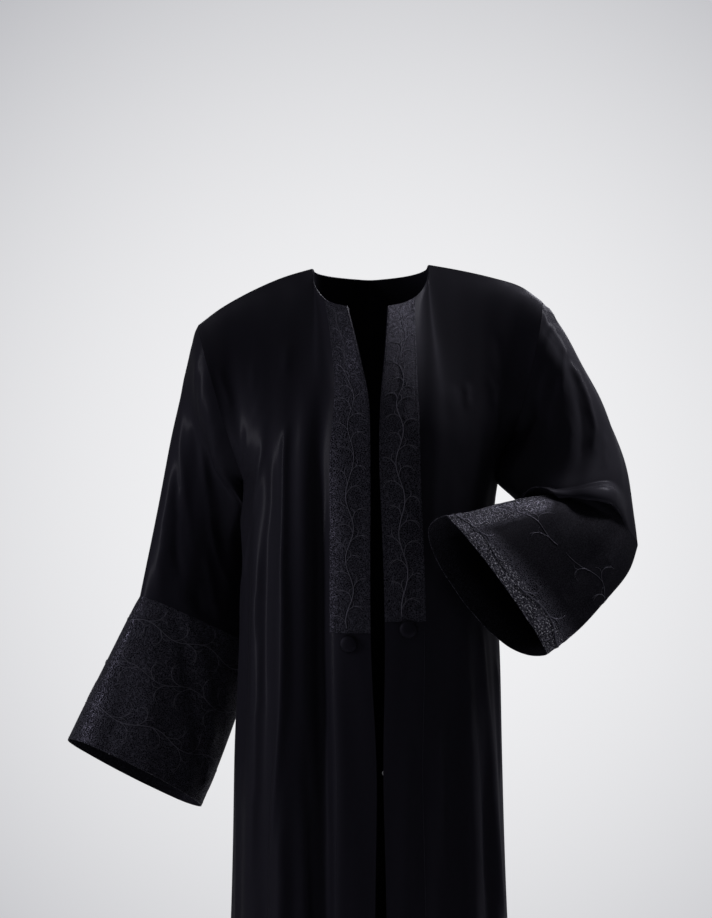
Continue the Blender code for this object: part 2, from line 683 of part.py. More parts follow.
def turned_mesh(name, profile, sides, centre, normal):
    """A solid turned about its axis from a profile of (radius, height) points, base first."""
    turn = normal.to_track_quat("Z", "Y").to_matrix()
    points = [centre + turn @ Vector((0, 0, profile[0][1]))]
    for radius, height in profile[1:-1]:
        for step in range(sides):
            angle = 2 * math.pi * step / sides
            spot = Vector((radius * math.cos(angle), radius * math.sin(angle), height))
            points.append(centre + turn @ spot)
    points.append(centre + turn @ Vector((0, 0, profile[-1][1])))
    faces = []
    for step in range(sides):
        following = (step + 1) % sides
        faces.append((0, 1 + following, 1 + step))
        for ring in range(len(profile) - 3):
            low, high = 1 + ring * sides, 1 + (ring + 1) * sides
            faces.append((low + step, low + following, high + following, high + step))
        last = 1 + (len(profile) - 3) * sides
        faces.append((last + step, last + following, len(points) - 1))
    mesh = bpy.data.meshes.new(name)
    mesh.from_pydata([tuple(p) for p in points], [], faces)
    mesh.update()
    mesh.shade_smooth()
    mesh.set_sharp_from_angle(angle=SHARP_EDGE)
    return mesh


def domed_profile(radius, height):
    """A flat base, a short straight side and a shallow dome, from the axis round to the axis."""
    side = height * DOME_SIDE
    base = radius * DOME_BASE
    profile = [(0.0, 0.0), (base, 0.0), (radius, height * DOME_CHAMFER), (radius, side)]
    for step in range(1, DOME_STEPS):
        angle = math.pi / 2 * step / DOME_STEPS
        profile.append((radius * math.cos(angle), side + (height - side) * math.sin(angle)))
    profile.append((0.0, height))
    return profile


# ----------------------------------------------------------------------------- pieces
def make_material(name, colour, roughness, metallic):
    material = bpy.data.materials.get(name)
    if material:
        return material
    material = bpy.data.materials.new(name)
    material.use_nodes = True
    shader = material.node_tree.nodes["Principled BSDF"]
    shader.inputs["Base Color"].default_value = (*colour, 1.0)
    shader.inputs["Roughness"].default_value = roughness
    shader.inputs["Metallic"].default_value = metallic
    material.diffuse_color = (*colour, 1.0)
    return material


def add_piece(mesh, finish):
    piece = bpy.data.objects.new(mesh.name, mesh)
    bpy.context.scene.collection.objects.link(piece)
    mesh.materials.append(make_material(*finish))
    return piece


def make_cloth():
    """The back, fronts, sleeves and cuffs. Returns the surfaces and shared offsets."""
    surfaces = {
        "back": Surface(back_surface(), False, True),
        "front_right": Surface(front_surface(RIGHT), False, True),
        "front_left": Surface(front_surface(LEFT), False, False),
    }
    for side in (RIGHT, LEFT):
        rings = sleeve_surface(side)
        seam_ring = len(SLEEVE_RINGS[side])
        turned = side == LEFT
        surfaces["sleeve_" + word_for(side)] = Surface(rings[: seam_ring + 1], True, turned)
        surfaces["cuff_" + word_for(side)] = Surface(rings[seam_ring:], True, turned)
    offsets = mitre_offsets(surfaces.values())
    for name, surface in surfaces.items():
        outer, inner = wall_layers(surface, offsets, SEWN_EDGES[name.split("_")[0]])
        finish = JACQUARD if name.startswith("cuff") else CREPE
        add_piece(wall_mesh(name, surface, outer, inner), finish)
    return surfaces, offsets


def make_bands(surfaces, offsets):
    """The jacquard bands, each lying on the edge columns of its front, down to their foot."""
    bands = {}
    for word in (word_for(RIGHT), word_for(LEFT)):
        front = surfaces["front_" + word]
        rows = YOKE_ROWS + BAND_FOOT_LEVEL + 1
        part = Surface(front.grid[:rows, : BAND_COLUMNS + 1], False, front.reversed)
        outer, inner = raised_layers(part, offsets, SEAM_GAP, SEAM_GAP + LACE)
        add_piece(wall_mesh("band_" + word, part, outer, inner), JACQUARD)
        bands[word] = (part, outer)
    return bands


def make_buttons(surfaces, bands):
    """The covered buttons, one below its band and one over the foot of its band."""
    for name, button in BUTTONS.items():
        word = word_for(button.side)
        front = surfaces["front_" + word]
        trees = [cloth_tree(front, front.grid)]
        if button.on_band:
            trees.append(cloth_tree(*bands[word]))
        centre, normal = seat_on(trees, button.x, button.z, BUTTON_RADIUS, 1)
        profile = domed_profile(BUTTON_RADIUS, BUTTON_HEIGHT)
        add_piece(turned_mesh(name, profile, BUTTON_SIDES, centre, normal), CREPE)


def make_stud(surfaces, offsets):
    """A press stud inside the left front, its rim just past the edge."""
    front = surfaces["front_left"]
    inner = wall_layers(front, offsets, SEWN_EDGES["front"])[1]
    x = table_value(FRONT_EDGES, "left", STUD_Z) + STUD_EDGE_INSET
    centre, normal = seat_on([cloth_tree(front, inner)], x, STUD_Z, STUD_RADIUS, -1)
    profile = domed_profile(STUD_RADIUS, STUD_HEIGHT)
    add_piece(turned_mesh("press_stud", profile, STUD_SIDES, centre, normal), STEEL)


def main():
    clear_scene()
    surfaces, offsets = make_cloth()
    bands = make_bands(surfaces, offsets)
    make_buttons(surfaces, bands)
    make_stud(surfaces, offsets)


main()
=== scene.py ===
# %% [markdown]
# # An open-front abaya cloak
# The cloak is plain black crepe, cut as one back, two fronts and two sleeves. Deep flared cuffs
# and two straight bands of a glossy figured jacquard trim it. This lesson dresses the CAD walls:
# each cloth piece becomes a thin shell with its creases, its stitching and its finish.

# %% Load the frame
import math
from collections import Counter, namedtuple

import bmesh
import bpy
import numpy as np
from mathutils import Matrix, Vector


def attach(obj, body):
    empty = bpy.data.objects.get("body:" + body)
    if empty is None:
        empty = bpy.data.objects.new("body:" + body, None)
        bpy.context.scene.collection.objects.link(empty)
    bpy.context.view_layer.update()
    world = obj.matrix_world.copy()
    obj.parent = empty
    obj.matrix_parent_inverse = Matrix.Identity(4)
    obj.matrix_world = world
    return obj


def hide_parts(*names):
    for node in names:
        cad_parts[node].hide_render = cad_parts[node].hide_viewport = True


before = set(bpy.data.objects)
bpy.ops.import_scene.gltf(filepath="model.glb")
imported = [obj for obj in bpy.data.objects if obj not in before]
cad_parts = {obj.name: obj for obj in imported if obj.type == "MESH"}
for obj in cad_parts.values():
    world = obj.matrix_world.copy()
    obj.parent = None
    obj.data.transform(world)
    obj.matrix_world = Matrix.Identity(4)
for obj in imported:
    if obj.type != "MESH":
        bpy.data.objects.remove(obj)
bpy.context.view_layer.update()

RIGHT, LEFT = -1, 1  # the wearer's right is -X, and the wearer faces -Y
WORD = {RIGHT: "right", LEFT: "left"}

# %% [markdown]
# ## Camera, floor and light
# The cloak is seen from the front by a long lens held level at chest height, which keeps the
# hanging lines straight. The floor is a plain disc under the hem. A curved wall could stand
# behind, but it would block the view from the other side, so the backdrop is the sky itself: a
# pale glow behind the cloak that fades to the sides.

# %% Camera
EYE = (-0.0166, -3.4, -0.2035)
VIEW_HEIGHT = 1.17504  # height of the view at the cloak's middle
SENSOR = 36.0


def add_camera():
    lens = bpy.data.cameras.new("camera")
    lens.sensor_width = SENSOR
    lens.lens = SENSOR * -EYE[1] / VIEW_HEIGHT
    camera = bpy.data.objects.new("camera", lens)
    camera.location = EYE
    camera.rotation_euler = (math.pi / 2, 0.0, 0.0)
    bpy.context.scene.collection.objects.link(camera)
    bpy.context.scene.camera = camera
    return camera


bpy.context.scene.view_settings.view_transform = "Standard"
print("lens", round(add_camera().data.lens, 1), "mm")

# %% Node helpers
Tree = namedtuple("Tree", "nodes links")


def tree_of(holder):
    holder.use_nodes = True
    return Tree(holder.node_tree.nodes, holder.node_tree.links)


def set_inputs(tree, node, **inputs):
    """Sets inputs by their name, or as _6 by their number, to a value or to a socket's link."""
    for name, value in inputs.items():
        key = int(name[1:]) if name[0] == "_" else name.replace("_", " ")
        if isinstance(value, bpy.types.NodeSocket):
            tree.links.new(value, node.inputs[key])
        else:
            node.inputs[key].default_value = value


def add_node(tree, kind, settings=None, **inputs):
    node = tree.nodes.new("ShaderNode" + kind)
    for name, value in (settings or {}).items():
        setattr(node, name, value)
    set_inputs(tree, node, **inputs)
    return node


def add_noise(tree, place, scale, detail):
    return add_node(tree, "TexNoise", Vector=place, Scale=scale, Detail=detail).outputs[0]


def add_range(tree, value, low, high, smooth=False, **limits):
    """Carries a value from 0 and 1, or from the limits given, to low and high."""
    settings = {"interpolation_type": "SMOOTHSTEP"} if smooth else None
    node = add_node(tree, "MapRange", settings, Value=value, To_Min=low, To_Max=high, **limits)
    return node.outputs[0]


def add_blend(tree, factor, low, high):
    """A colour that goes from low to high with the factor."""
    return add_node(tree, "Mix", {"data_type": "RGBA"}, Factor=factor, _6=low, _7=high).outputs[2]


def add_math(tree, operation, *values):
    inputs = {f"_{i}": value for i, value in enumerate(values)}
    return add_node(tree, "Math", {"operation": operation}, **inputs).outputs[0]


def add_bump(tree, height, strength, depth):
    bump = add_node(tree, "Bump", Height=height, Strength=strength, Distance=depth)
    return bump.outputs[0]


print("node helpers for every finish")

# %% Floor and backdrop
FLOOR_Z = -1.45
FLOOR_RADIUS = 2.6
PALE = (0.60, 0.60, 0.61, 1.0)
GLOW_WAY = (0.012, 0.9998, -0.015)  # from the camera to the middle of the glow
GLOW_FROM = 0.971  # cosine of the angle at which the glow has died out
DIM, BRIGHT = (0.50, 0.503, 0.53, 1.0), (0.90, 0.90, 0.915, 1.0)
AS_LIGHT = 0.20  # strength of the sky as a light, where the camera sees it at 1


def add_floor():
    bpy.ops.object.select_all(action="DESELECT")
    bpy.ops.mesh.primitive_circle_add(
        vertices=96, radius=FLOOR_RADIUS, fill_type="NGON", location=(0, 0, FLOOR_Z)
    )
    floor = bpy.context.object
    floor.name = "floor"
    paint = bpy.data.materials.new("pale_floor")
    tree = tree_of(paint)
    speck = add_noise(tree, add_node(tree, "TexCoord").outputs["Object"], 90.0, 4.0)
    shade = add_range(tree, speck, 0.5, 0.62)
    set_inputs(tree, tree.nodes["Principled BSDF"], Base_Color=PALE, Roughness=shade)
    floor.data.materials.append(paint)


def add_backdrop():
    """A pale sky, brightest straight behind the cloak. It lights the cloth only softly."""
    world = bpy.data.worlds.new("backdrop")
    bpy.context.scene.world = world
    tree = tree_of(world)
    way = add_node(tree, "TexCoord").outputs["Generated"]
    behind = add_node(tree, "VectorMath", {"operation": "DOT_PRODUCT"}, _0=way, _1=GLOW_WAY)
    glow = add_range(tree, behind.outputs["Value"], 0.0, 1.0, From_Min=GLOW_FROM)
    ray = add_node(tree, "LightPath").outputs["Is Camera Ray"]
    set_inputs(
        tree, tree.nodes["Background"], Color=add_blend(tree, glow, DIM, BRIGHT),
        Strength=add_range(tree, ray, AS_LIGHT, 1.0),
    )


add_floor()
add_backdrop()
print("floor at", FLOOR_Z, "m")

# %% Soft studio light
# Each softbox has a place, the spot that it is turned to, its width and height, and its power
Softbox = namedtuple("Softbox", "name place target width height power")
COOL = (0.90, 0.89, 1.0)  # colour of every softbox
SOFTBOXES = (
    Softbox("right_side", (-2.4, -0.75, 0.2), (0.0, 0.0, -0.6), 0.4, 1.6, 19.8),
    Softbox("left_side", (2.2, 0.55, 1.6), (0.2, 0.0, -0.2), 0.40, 1.0, 39.5),
    Softbox("overhead", (0.3, 1.0, 2.0), (0.1, 0.0, 0.0), 1.1, 0.8, 12.0),
    Softbox("behind", (0.6, 1.9, 1.0), (0.0, 0.0, -0.5), 1.4, 1.0, 32.0),
)


def add_softbox(box):
    light = bpy.data.lights.new(box.name, "AREA")
    light.shape = "RECTANGLE"
    light.size, light.size_y = box.width, box.height
    light.energy = box.power
    light.color = COOL
    lamp = bpy.data.objects.new(box.name, light)
    lamp.location = box.place
    aim = Vector(box.target) - Vector(box.place)
    lamp.rotation_euler = aim.to_track_quat("-Z", "Y").to_euler()
    bpy.context.scene.collection.objects.link(lamp)


for softbox in SOFTBOXES:
    add_softbox(softbox)
print(len(SOFTBOXES), "softboxes")

# %% [markdown]
# ## Reading a cut piece back from its CAD wall
# Each cut piece is a CAD wall: an outer and an inner grid of points, joined by narrow rims. The
# cloth could be drawn afresh, but it has to lie exactly on the outer grid, so the rows and
# columns are read back from the wall's triangles. A change to the cut then carries straight
# through to the looks.

# %% The outer skin of a wall
MERGE = 1e-6
RIM_EDGE = 0.0032  # every rim triangle has an edge under this, and no other triangle has


def outer_skin(node):
    """Points and triangles of the skin of a CAD wall that faces away from the body."""
    wall = bmesh.new()
    wall.from_mesh(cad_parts[node].data)
    bmesh.ops.remove_doubles(wall, verts=wall.verts, dist=MERGE)
    wall.verts.index_update()
    points = np.array([vert.co for vert in wall.verts])
    broad = [f for f in wall.faces if min(e.calc_length() for e in f.edges) > RIM_EDGE]
    triangles = [tuple(v.index for v in f.verts) for f in broad]
    wall.free()
    owner = list(range(len(points)))

    def root(i):
        while owner[i] != i:
            i = owner[i]
        return i

    for a, b, c in triangles:
        owner[root(b)] = root(a)
        owner[root(c)] = root(a)
    best = None
    for island in {root(t[0]) for t in triangles}:
        own = [t for t in triangles if root(t[0]) == island]
        corners = points[np.array(own)]
        areas = np.cross(corners[:, 1] - corners[:, 0], corners[:, 2] - corners[:, 0])
        centres = corners.mean(axis=1)
        outward = float((areas * (centres - centres.mean(axis=0))).sum())
        if best is None or outward > best[0]:
            best = (outward, own)
    return points, best[1]


print("rims are narrower than", RIM_EDGE, "m")

# %% Its rows and columns
def third_corners(triangles):
    """For each edge of a skin, the corners that its triangles have across it."""
    across = {}
    for triangle in triangles:
        for i in range(3):
            edge = frozenset((triangle[i], triangle[(i + 1) % 3]))
            across.setdefault(edge, []).append(triangle[(i + 2) % 3])
    return across


def top_row(points, beside, touching, start, following):
    """A wall's first row, followed along its open edge. A tube's starts at the point nearest
    start, the way that following lies. A panel's runs between its two upper corners."""
    if start is not None:
        first = min(beside, key=lambda i: np.linalg.norm(points[i] - start))
        second = min(beside[first], key=lambda i: np.linalg.norm(points[i] - following))
    else:
        first = max((i for i in beside if touching[i] == 1), key=lambda i: points[i][2])
        second = max(beside[first], key=lambda i: points[i][2])
    row = [first, second]
    while True:
        ahead = next(i for i in beside[row[-1]] if i != row[-2])
        if ahead == first:
            return row
        row.append(ahead)
        if start is None and touching[ahead] < 3:
            return row


def rows_below(row, across, closed):
    """The row and all the rows below it, each found across the edges of the last one."""
    rows, above = [row], set()
    while True:
        pairs = zip(row, row[1:] + row[:1] if closed else row[1:])
        below = [[i for i in across[frozenset(pair)] if i not in above] for pair in pairs]
        if not below[0]:
            return rows
        lower = [found[0] for found in below]
        if not closed:
            edge = frozenset((row[-1], lower[-1]))
            lower.append(next(i for i in across[edge] if i != row[-2]))
        rows.append(lower)
        above, row = set(row), lower


def wall_grid(node, start=None, following=None):
    """Rows by columns of a wall's outer points. Only a tube needs a start."""
    points, triangles = outer_skin(node)
    across = third_corners(triangles)
    touching = Counter(corner for triangle in triangles for corner in triangle)
    beside = {}
    for edge, thirds in across.items():
        if len(thirds) == 1:
            a, b = tuple(edge)
            beside.setdefault(a, []).append(b)
            beside.setdefault(b, []).append(a)
    row = top_row(points, beside, touching, start, following)
    return points[np.array(rows_below(row, across, start is not None))]


# %% The grids of all the pieces
GRIDS = {name: wall_grid(name) for name in ("back", "front_right", "front_left")}
for word in WORD.values():
    armhole = GRIDS["front_" + word][:, -1]
    GRIDS["sleeve_" + word] = wall_grid("sleeve_" + word, armhole[0], armhole[1])
    seam = GRIDS["sleeve_" + word][-1]
    GRIDS["cuff_" + word] = wall_grid("cuff_" + word, seam[0], seam[1])
    GRIDS["band_" + word] = wall_grid("band_" + word)
for name, grid in GRIDS.items():
    print(name, "grid", grid.shape[:2])

# %% [markdown]
# ## From the cut to smooth cloth
# The CAD grid has a point every few centimetres, and cloth bends smoothly between them. A
# subdivision modifier would smooth the grid too, but it would shrink the cloth away from its
# points. So natural cubic curves are drawn through the rows and then through the columns, and
# read every few millimetres. The top edge turns a corner at the neck, where such curves would
# swing out into little horns, so tauter curves that never pass their points take over there.

# %% Smooth curves through points
Cloth = namedtuple("Cloth", "points normals down across row_stops column_stops closed")
WRAP = 4  # columns that a closed ring repeats past its ends, so that it joins smoothly


def spline(knots, values, places):
    """Natural cubic curves through values at the knots, read at the places."""
    count, gaps = len(knots), np.diff(knots)
    flat = values.reshape(count, -1)
    system, right = np.eye(count), np.zeros_like(flat)
    for i in range(1, count - 1):
        before, after = gaps[i - 1], gaps[i]
        system[i, i - 1 : i + 2] = before, 2 * (before + after), after
        right[i] = 6 * ((flat[i + 1] - flat[i]) / after - (flat[i] - flat[i - 1]) / before)
    bend = np.linalg.solve(system, right)
    low = np.clip(np.searchsorted(knots, places, side="right") - 1, 0, count - 2)
    gap = gaps[low][:, None]
    b = ((places - knots[low]) / gaps[low])[:, None]
    a = 1.0 - b
    curve = (a**3 - a) * bend[low] + (b**3 - b) * bend[low + 1]
    result = a * flat[low] + b * flat[low + 1] + curve * gap**2 / 6
    return result.reshape(len(places), *values.shape[1:])


def taut(knots, values, places):
    """Curves through values at the knots that never swing past them, read at the places."""
    gaps = np.diff(knots)[:, None]
    flat = values.reshape(len(knots), -1)
    slopes = np.diff(flat, axis=0) / gaps
    before, after = slopes[:-1], slopes[1:]
    agree = before * after > 0
    mean = 2 * before * after / np.where(agree, before + after, 1.0)
    tangents = np.concatenate([slopes[:1], np.where(agree, mean, 0.0), slopes[-1:]])
    low = np.clip(np.searchsorted(knots, places, side="right") - 1, 0, len(knots) - 2)
    gap = gaps[low]
    t = (places - knots[low])[:, None] / gap
    result = (
        (2 * t**3 - 3 * t**2 + 1) * flat[low]
        + (t**3 - 2 * t**2 + t) * gap * tangents[low]
        + (3 * t**2 - 2 * t**3) * flat[low + 1]
        + (t**3 - t**2) * gap * tangents[low + 1]
    )
    return result.reshape(len(places), *values.shape[1:])


print("curves through points, loose and taut")

# %% Distances, places and normals
def soft(value):
    """Rises smoothly from 0 to 1 as the value does."""
    value = np.clip(value, 0.0, 1.0)
    return value * value * (3.0 - 2.0 * value)


def mean_distances(*grids):
    """Running distance down the rows, averaged over the columns of all the grids."""
    steps = np.concatenate([np.linalg.norm(np.diff(g, axis=0), axis=2) for g in grids], axis=1)
    return np.concatenate([[0.0], np.cumsum(steps.mean(axis=1))])


def fine_places(knots, step):
    """Places about a step apart, every knot among them, and where the knots are in the list."""
    places, stops = [knots[0]], [0]
    for low, high in zip(knots, knots[1:]):
        count = max(1, round((high - low) / step))
        places += list(np.linspace(low, high, count + 1)[1:])
        stops.append(len(places) - 1)
    return np.array(places), stops


def outward_normals(points, closed):
    """A unit normal at every point of a grid, all on its outer side."""
    down = np.gradient(points, axis=0)
    if closed:
        across = (np.roll(points, -1, axis=1) - np.roll(points, 1, axis=1)) / 2
    else:
        across = np.gradient(points, axis=1)
    normals = np.cross(down, across)
    normals /= np.maximum(np.linalg.norm(normals, axis=2, keepdims=True), 1e-12)
    outward = float((normals * (points - points.mean(axis=(0, 1)))).sum())
    return normals if outward > 0 else -normals


print("halfway up a soft step", soft(0.5))

# %% A fine cloth from a grid
TOP_REACH = 0.09  # distance below the top edge over which the taut curves give way


def wrapped(grid):
    """A tube's grid with a few columns repeated past each end."""
    return np.concatenate([grid[:, -WRAP:], grid, grid[:, : WRAP + 1]], axis=1)


def smooth_cloth(grid, closed, row_knots, column_knots, steps):
    """A cloth read off smooth curves, with steps (down, across) in metres between its points."""
    columns = grid.shape[1]
    down, row_stops = fine_places(row_knots, steps[0])
    across, column_stops = fine_places(column_knots, steps[1])
    points = spline(row_knots, wrapped(grid) if closed else grid, down).transpose(1, 0, 2)
    smooth = spline(column_knots, points, across).transpose(1, 0, 2)
    if closed:
        low, high = column_stops[WRAP], column_stops[WRAP + columns]
        smooth, across = smooth[:, low:high], across[low : high + 1] - across[low]
        column_stops = [stop - low for stop in column_stops[WRAP : WRAP + columns + 1]]
    else:
        tight = taut(column_knots, points, across).transpose(1, 0, 2)
        smooth += (tight - smooth) * (1.0 - soft(down / TOP_REACH))[:, None, None]
    return Cloth(smooth, None, down, across, row_stops, column_stops, closed)


print("taut curves reach", TOP_REACH, "m down")

# %% All the cloths
# Steps down and across each kind of piece. The long folds run down, so they need the finer
# step across.
STEPS = {
    "back": (0.0075, 0.0032),
    "front": (0.0055, 0.0030),
    "sleeve": (0.0036, 0.0030),
    "cuff": (0.0030, 0.0030),
}
BODY = ("back", "front_right", "front_left")
ROW_KNOTS = mean_distances(*(GRIDS[name] for name in BODY))
CLOTHS = {}
for name in BODY:
    across = mean_distances(GRIDS[name].transpose(1, 0, 2))
    CLOTHS[name] = smooth_cloth(
        GRIDS[name], False, ROW_KNOTS, across, STEPS[name.split("_")[0]]
    )
for word in WORD.values():
    tube = [wrapped(GRIDS[kind + word]).transpose(1, 0, 2) for kind in ("sleeve_", "cuff_")]
    around = mean_distances(*tube)
    for kind in ("sleeve", "cuff"):
        grid = GRIDS[f"{kind}_{word}"]
        CLOTHS[f"{kind}_{word}"] = smooth_cloth(
            grid, True, mean_distances(grid), around, STEPS[kind]
        )
for name, cloth in CLOTHS.items():
    print(name, cloth.points.shape[:2], "length", round(cloth.down[-1], 3), "m")

# %% [markdown]
# ## Seams that meet
# The cloak's seams are plain and closed. Two pieces that are smoothed on their own would gape
# or cross between their shared points, and bridging them would make them one piece. So both
# edges are set on one curve through the seam's own points, and the cloth beside it follows over
# a few centimetres.

# %% Setting the edges on their seam lines
YOKE_ROWS = 8  # rows of the grids from the shoulder to the underarm
NECK_COLUMN = 6  # column of a front that ends at the neck point
SEAM_FOLLOW = 0.035
SIDE_GAP = 0.2  # share of the CAD's clear gap that the side seams keep


def edge_curve(corners, places, closed=False):
    """A smooth curve through an edge's corners, read at places counted in corners."""
    if closed:
        corners = np.concatenate([corners[-WRAP:], corners, corners[: WRAP + 1]])
        places = places + WRAP
    steps = np.linalg.norm(np.diff(corners, axis=0), axis=1)
    knots = np.concatenate([[0.0], np.cumsum(steps)])
    return spline(knots, corners, np.interp(places, np.arange(len(corners)), knots))


def set_edge(points, edge, curve, share):
    """Moves one row of the points onto a curve, and the rest by their share."""
    points += (curve - points[edge])[None] * share[:, None, None]


def set_armhole(cloth, edge, ring, backward):
    """Sets the armhole edge of a body piece, its first or last column, on the ring."""
    stops = cloth.row_stops[: YOKE_ROWS + 1]
    places = np.interp(np.arange(stops[-1] + 1), stops, np.arange(YOKE_ROWS + 1))
    if backward:
        places = (2 * YOKE_ROWS - places) % (2 * YOKE_ROWS)
    curve = edge_curve(ring, places, True)
    away = np.abs(cloth.across - cloth.across[edge])
    rows = cloth.points[: len(curve)].transpose(1, 0, 2)
    set_edge(rows, edge, curve, soft(1.0 - away / SEAM_FOLLOW))


def set_side(cloth, edge, corners):
    """Sets a side edge below the armhole on a taut curve, which keeps the underarm's corner."""
    first = cloth.row_stops[YOKE_ROWS]
    curve = taut(ROW_KNOTS[YOKE_ROWS:], corners[YOKE_ROWS:], cloth.down[first:])
    away = np.abs(cloth.across - cloth.across[edge])
    rows = cloth.points[first:].transpose(1, 0, 2)
    set_edge(rows, edge, curve, soft(1.0 - away / SEAM_FOLLOW))


def set_shoulder(cloth, first, last):
    """Sets the top edge between two columns of the grid on the shoulder's curve."""
    stops = cloth.column_stops[first : last + 1]
    places = np.interp(np.arange(stops[0], stops[-1] + 1), stops, np.arange(len(stops)))
    curve = edge_curve(cloth.points[0, stops], places)
    part = cloth.points[:, stops[0] : stops[-1] + 1]
    set_edge(part, 0, curve, soft(1.0 - cloth.down / SEAM_FOLLOW))


def set_ring(cloth, corners, edge):
    """Sets a tube's first or last ring on the closed curve through its corners."""
    stops = cloth.column_stops
    places = np.interp(np.arange(stops[-1]), stops, np.arange(len(stops)))
    away = np.abs(cloth.down - cloth.down[edge])
    set_edge(cloth.points, edge, edge_curve(corners, places, True), soft(1.0 - away / SEAM_FOLLOW))


print("cloth follows its seam over", SEAM_FOLLOW, "m")

# %% The seams of both sides
for side, word in WORD.items():
    front, back = GRIDS["front_" + word], GRIDS["back"]
    back_edge = 0 if side == RIGHT else -1
    ring = np.concatenate([front[: YOKE_ROWS + 1, -1], back[YOKE_ROWS - 1 : 0 : -1, back_edge]])
    columns, whole = front.shape[1] - 1, back.shape[1] - 1
    set_shoulder(CLOTHS["front_" + word], NECK_COLUMN, columns)
    if side == RIGHT:
        set_shoulder(CLOTHS["back"], 0, columns - NECK_COLUMN)
    else:
        set_shoulder(CLOTHS["back"], whole - columns + NECK_COLUMN, whole)
    set_armhole(CLOTHS["front_" + word], -1, ring, False)
    set_armhole(CLOTHS["back"], back_edge, ring, True)
    middle = (front[:, -1] + back[:, back_edge]) / 2
    set_side(CLOTHS["front_" + word], -1, middle + (front[:, -1] - middle) * SIDE_GAP)
    set_side(CLOTHS["back"], back_edge, middle + (back[:, back_edge] - middle) * SIDE_GAP)
    for kind in ("sleeve_", "cuff_"):
        set_ring(CLOTHS[kind + word], GRIDS[kind + word][0], 0)
    set_ring(CLOTHS["sleeve_" + word], GRIDS["sleeve_" + word][-1], -1)
print("seams set on both sides")

# %% [markdown]
# ## The arched cuff seam at the elbow
# On the bent arm the sleeve's end rides up over the elbow, so its seam with the cuff arches
# upward at the front. Pulling the seam's points up would dent the arm. Sliding the seam along
# the cloth instead, column by column, keeps the arm's form and only moves the line where the
# sleeve ends and the cuff begins.

# %% Sliding the left cuff's seam
SLIDE = 0.036  # how far up the sleeve the seam goes at the middle of its arch
SLIDE_SPOT = (0.270, -0.275)  # that middle in the front view, x and z
SLIDE_SPAN = 0.055  # distance from the middle at which the arch has fallen to about a third
SEAM_STEP = 0.1  # share of the first row that keeps the cuff clear of the sleeve
SLIDE_REACH = 0.11  # distance from the seam over which the slide fades
SLIDE_FRONT = 0.04  # depth over which the slide fades from the front of the arm to its back


def slide_seam(sleeve, cuff):
    """Moves the seam of a sleeve and its cuff along the cloth of both."""
    seam = sleeve.points[-1]
    away = np.hypot(seam[:, 0] - SLIDE_SPOT[0], seam[:, 2] - SLIDE_SPOT[1]) / SLIDE_SPAN
    ahead = seam[:, 1].mean() - seam[:, 1]
    amounts = SLIDE * np.exp(-(away**2)) * soft((ahead + SLIDE_FRONT / 2) / SLIDE_FRONT)
    end = sleeve.down[-1]
    joined = np.concatenate([sleeve.points, cuff.points[1:]])
    down = np.concatenate([sleeve.down, end + cuff.down[1:]])
    moved = []
    for places in (sleeve.down, end + cuff.down):
        share = soft(1.0 - np.abs(places - end) / SLIDE_REACH)
        columns = [
            spline(down, joined[:, j], places - amount * share) for j, amount in enumerate(amounts)
        ]
        moved.append(np.stack(columns, axis=1))
    return sleeve._replace(points=moved[0]), cuff._replace(points=moved[1])


sleeve, cuff = slide_seam(CLOTHS["sleeve_left"], CLOTHS["cuff_left"])
cuff.points[0] += SEAM_STEP * (cuff.points[1] - cuff.points[0])
CLOTHS.update(sleeve_left=sleeve, cuff_left=cuff)
for name, cloth in CLOTHS.items():
    CLOTHS[name] = cloth._replace(normals=outward_normals(cloth.points, cloth.closed))
print("left cuff seam arched by", SLIDE, "m")

# %% [markdown]
# ## Creases
# Crepe this soft breaks into long folds where it hangs and into short drag lines where a seam
# pulls it. A cloth simulation would find folds of its own, but these have their places, so each
# is listed: a path across a piece, given by a few places as they are seen from the front
# or from behind, with a width and a height. A positive height is a ridge, a negative one a
# trough. Paths differ in length, depth and spacing, as the folds of hung cloth do.

# %% Laying a crease on the cloth
FRONT, BACK = -1, 1  # the way that the seen side of a crease faces, along Y
PATH_STEPS = 18
TURNED_AWAY = 0.05  # points whose normal faces the view less than this are no match for a path
CROWN = 1.8  # a higher power gives a crease a flatter top and steeper sides
Crease = namedtuple("Crease", "face path width height start end")


def path_on_cloth(cloth, crease):
    """The crease's path on the cloth, read from its places in the front or back view."""
    places = np.array(crease.path, float)
    steps = np.linalg.norm(np.diff(places, axis=0), axis=1)
    knots = np.concatenate([[0.0], np.cumsum(steps)])
    flat = spline(knots, places, np.linspace(0.0, knots[-1], PATH_STEPS))
    points, normals = cloth.points.reshape(-1, 3), cloth.normals.reshape(-1, 3)
    hidden = normals[:, 1] * crease.face < TURNED_AWAY
    path = []
    for x, z in flat:
        gaps = (points[:, 0] - x) ** 2 + (points[:, 2] - z) ** 2 + hidden * 1.0
        path.append(points[int(np.argmin(gaps))])
    return np.array(path)


def crease_heights(cloth, crease):
    """How far one crease moves every point of the cloth along its normal."""
    path = path_on_cloth(cloth, crease)
    points = cloth.points.reshape(-1, 3)
    lengths = np.maximum(np.linalg.norm(np.diff(path, axis=0), axis=1), 1e-9)
    before = np.concatenate([[0.0], np.cumsum(lengths)])
    nearest = np.full(len(points), np.inf)
    along = np.zeros(len(points))
    for i, (a, b) in enumerate(zip(path, path[1:])):
        t = np.clip((points - a) @ (b - a) / lengths[i] ** 2, 0.0, 1.0)
        gap = np.linalg.norm(points - a - t[:, None] * (b - a), axis=1)
        closer = gap < nearest
        nearest[closer] = gap[closer]
        along[closer] = (before[i] + t[closer] * lengths[i]) / before[-1]
    ends = soft(along / max(crease.start, 1e-3)) * soft((1.0 - along) / max(crease.end, 1e-3))
    shape = np.exp(-((nearest / crease.width) ** CROWN)) * ends
    return (crease.height * shape).reshape(cloth.points.shape[:2])


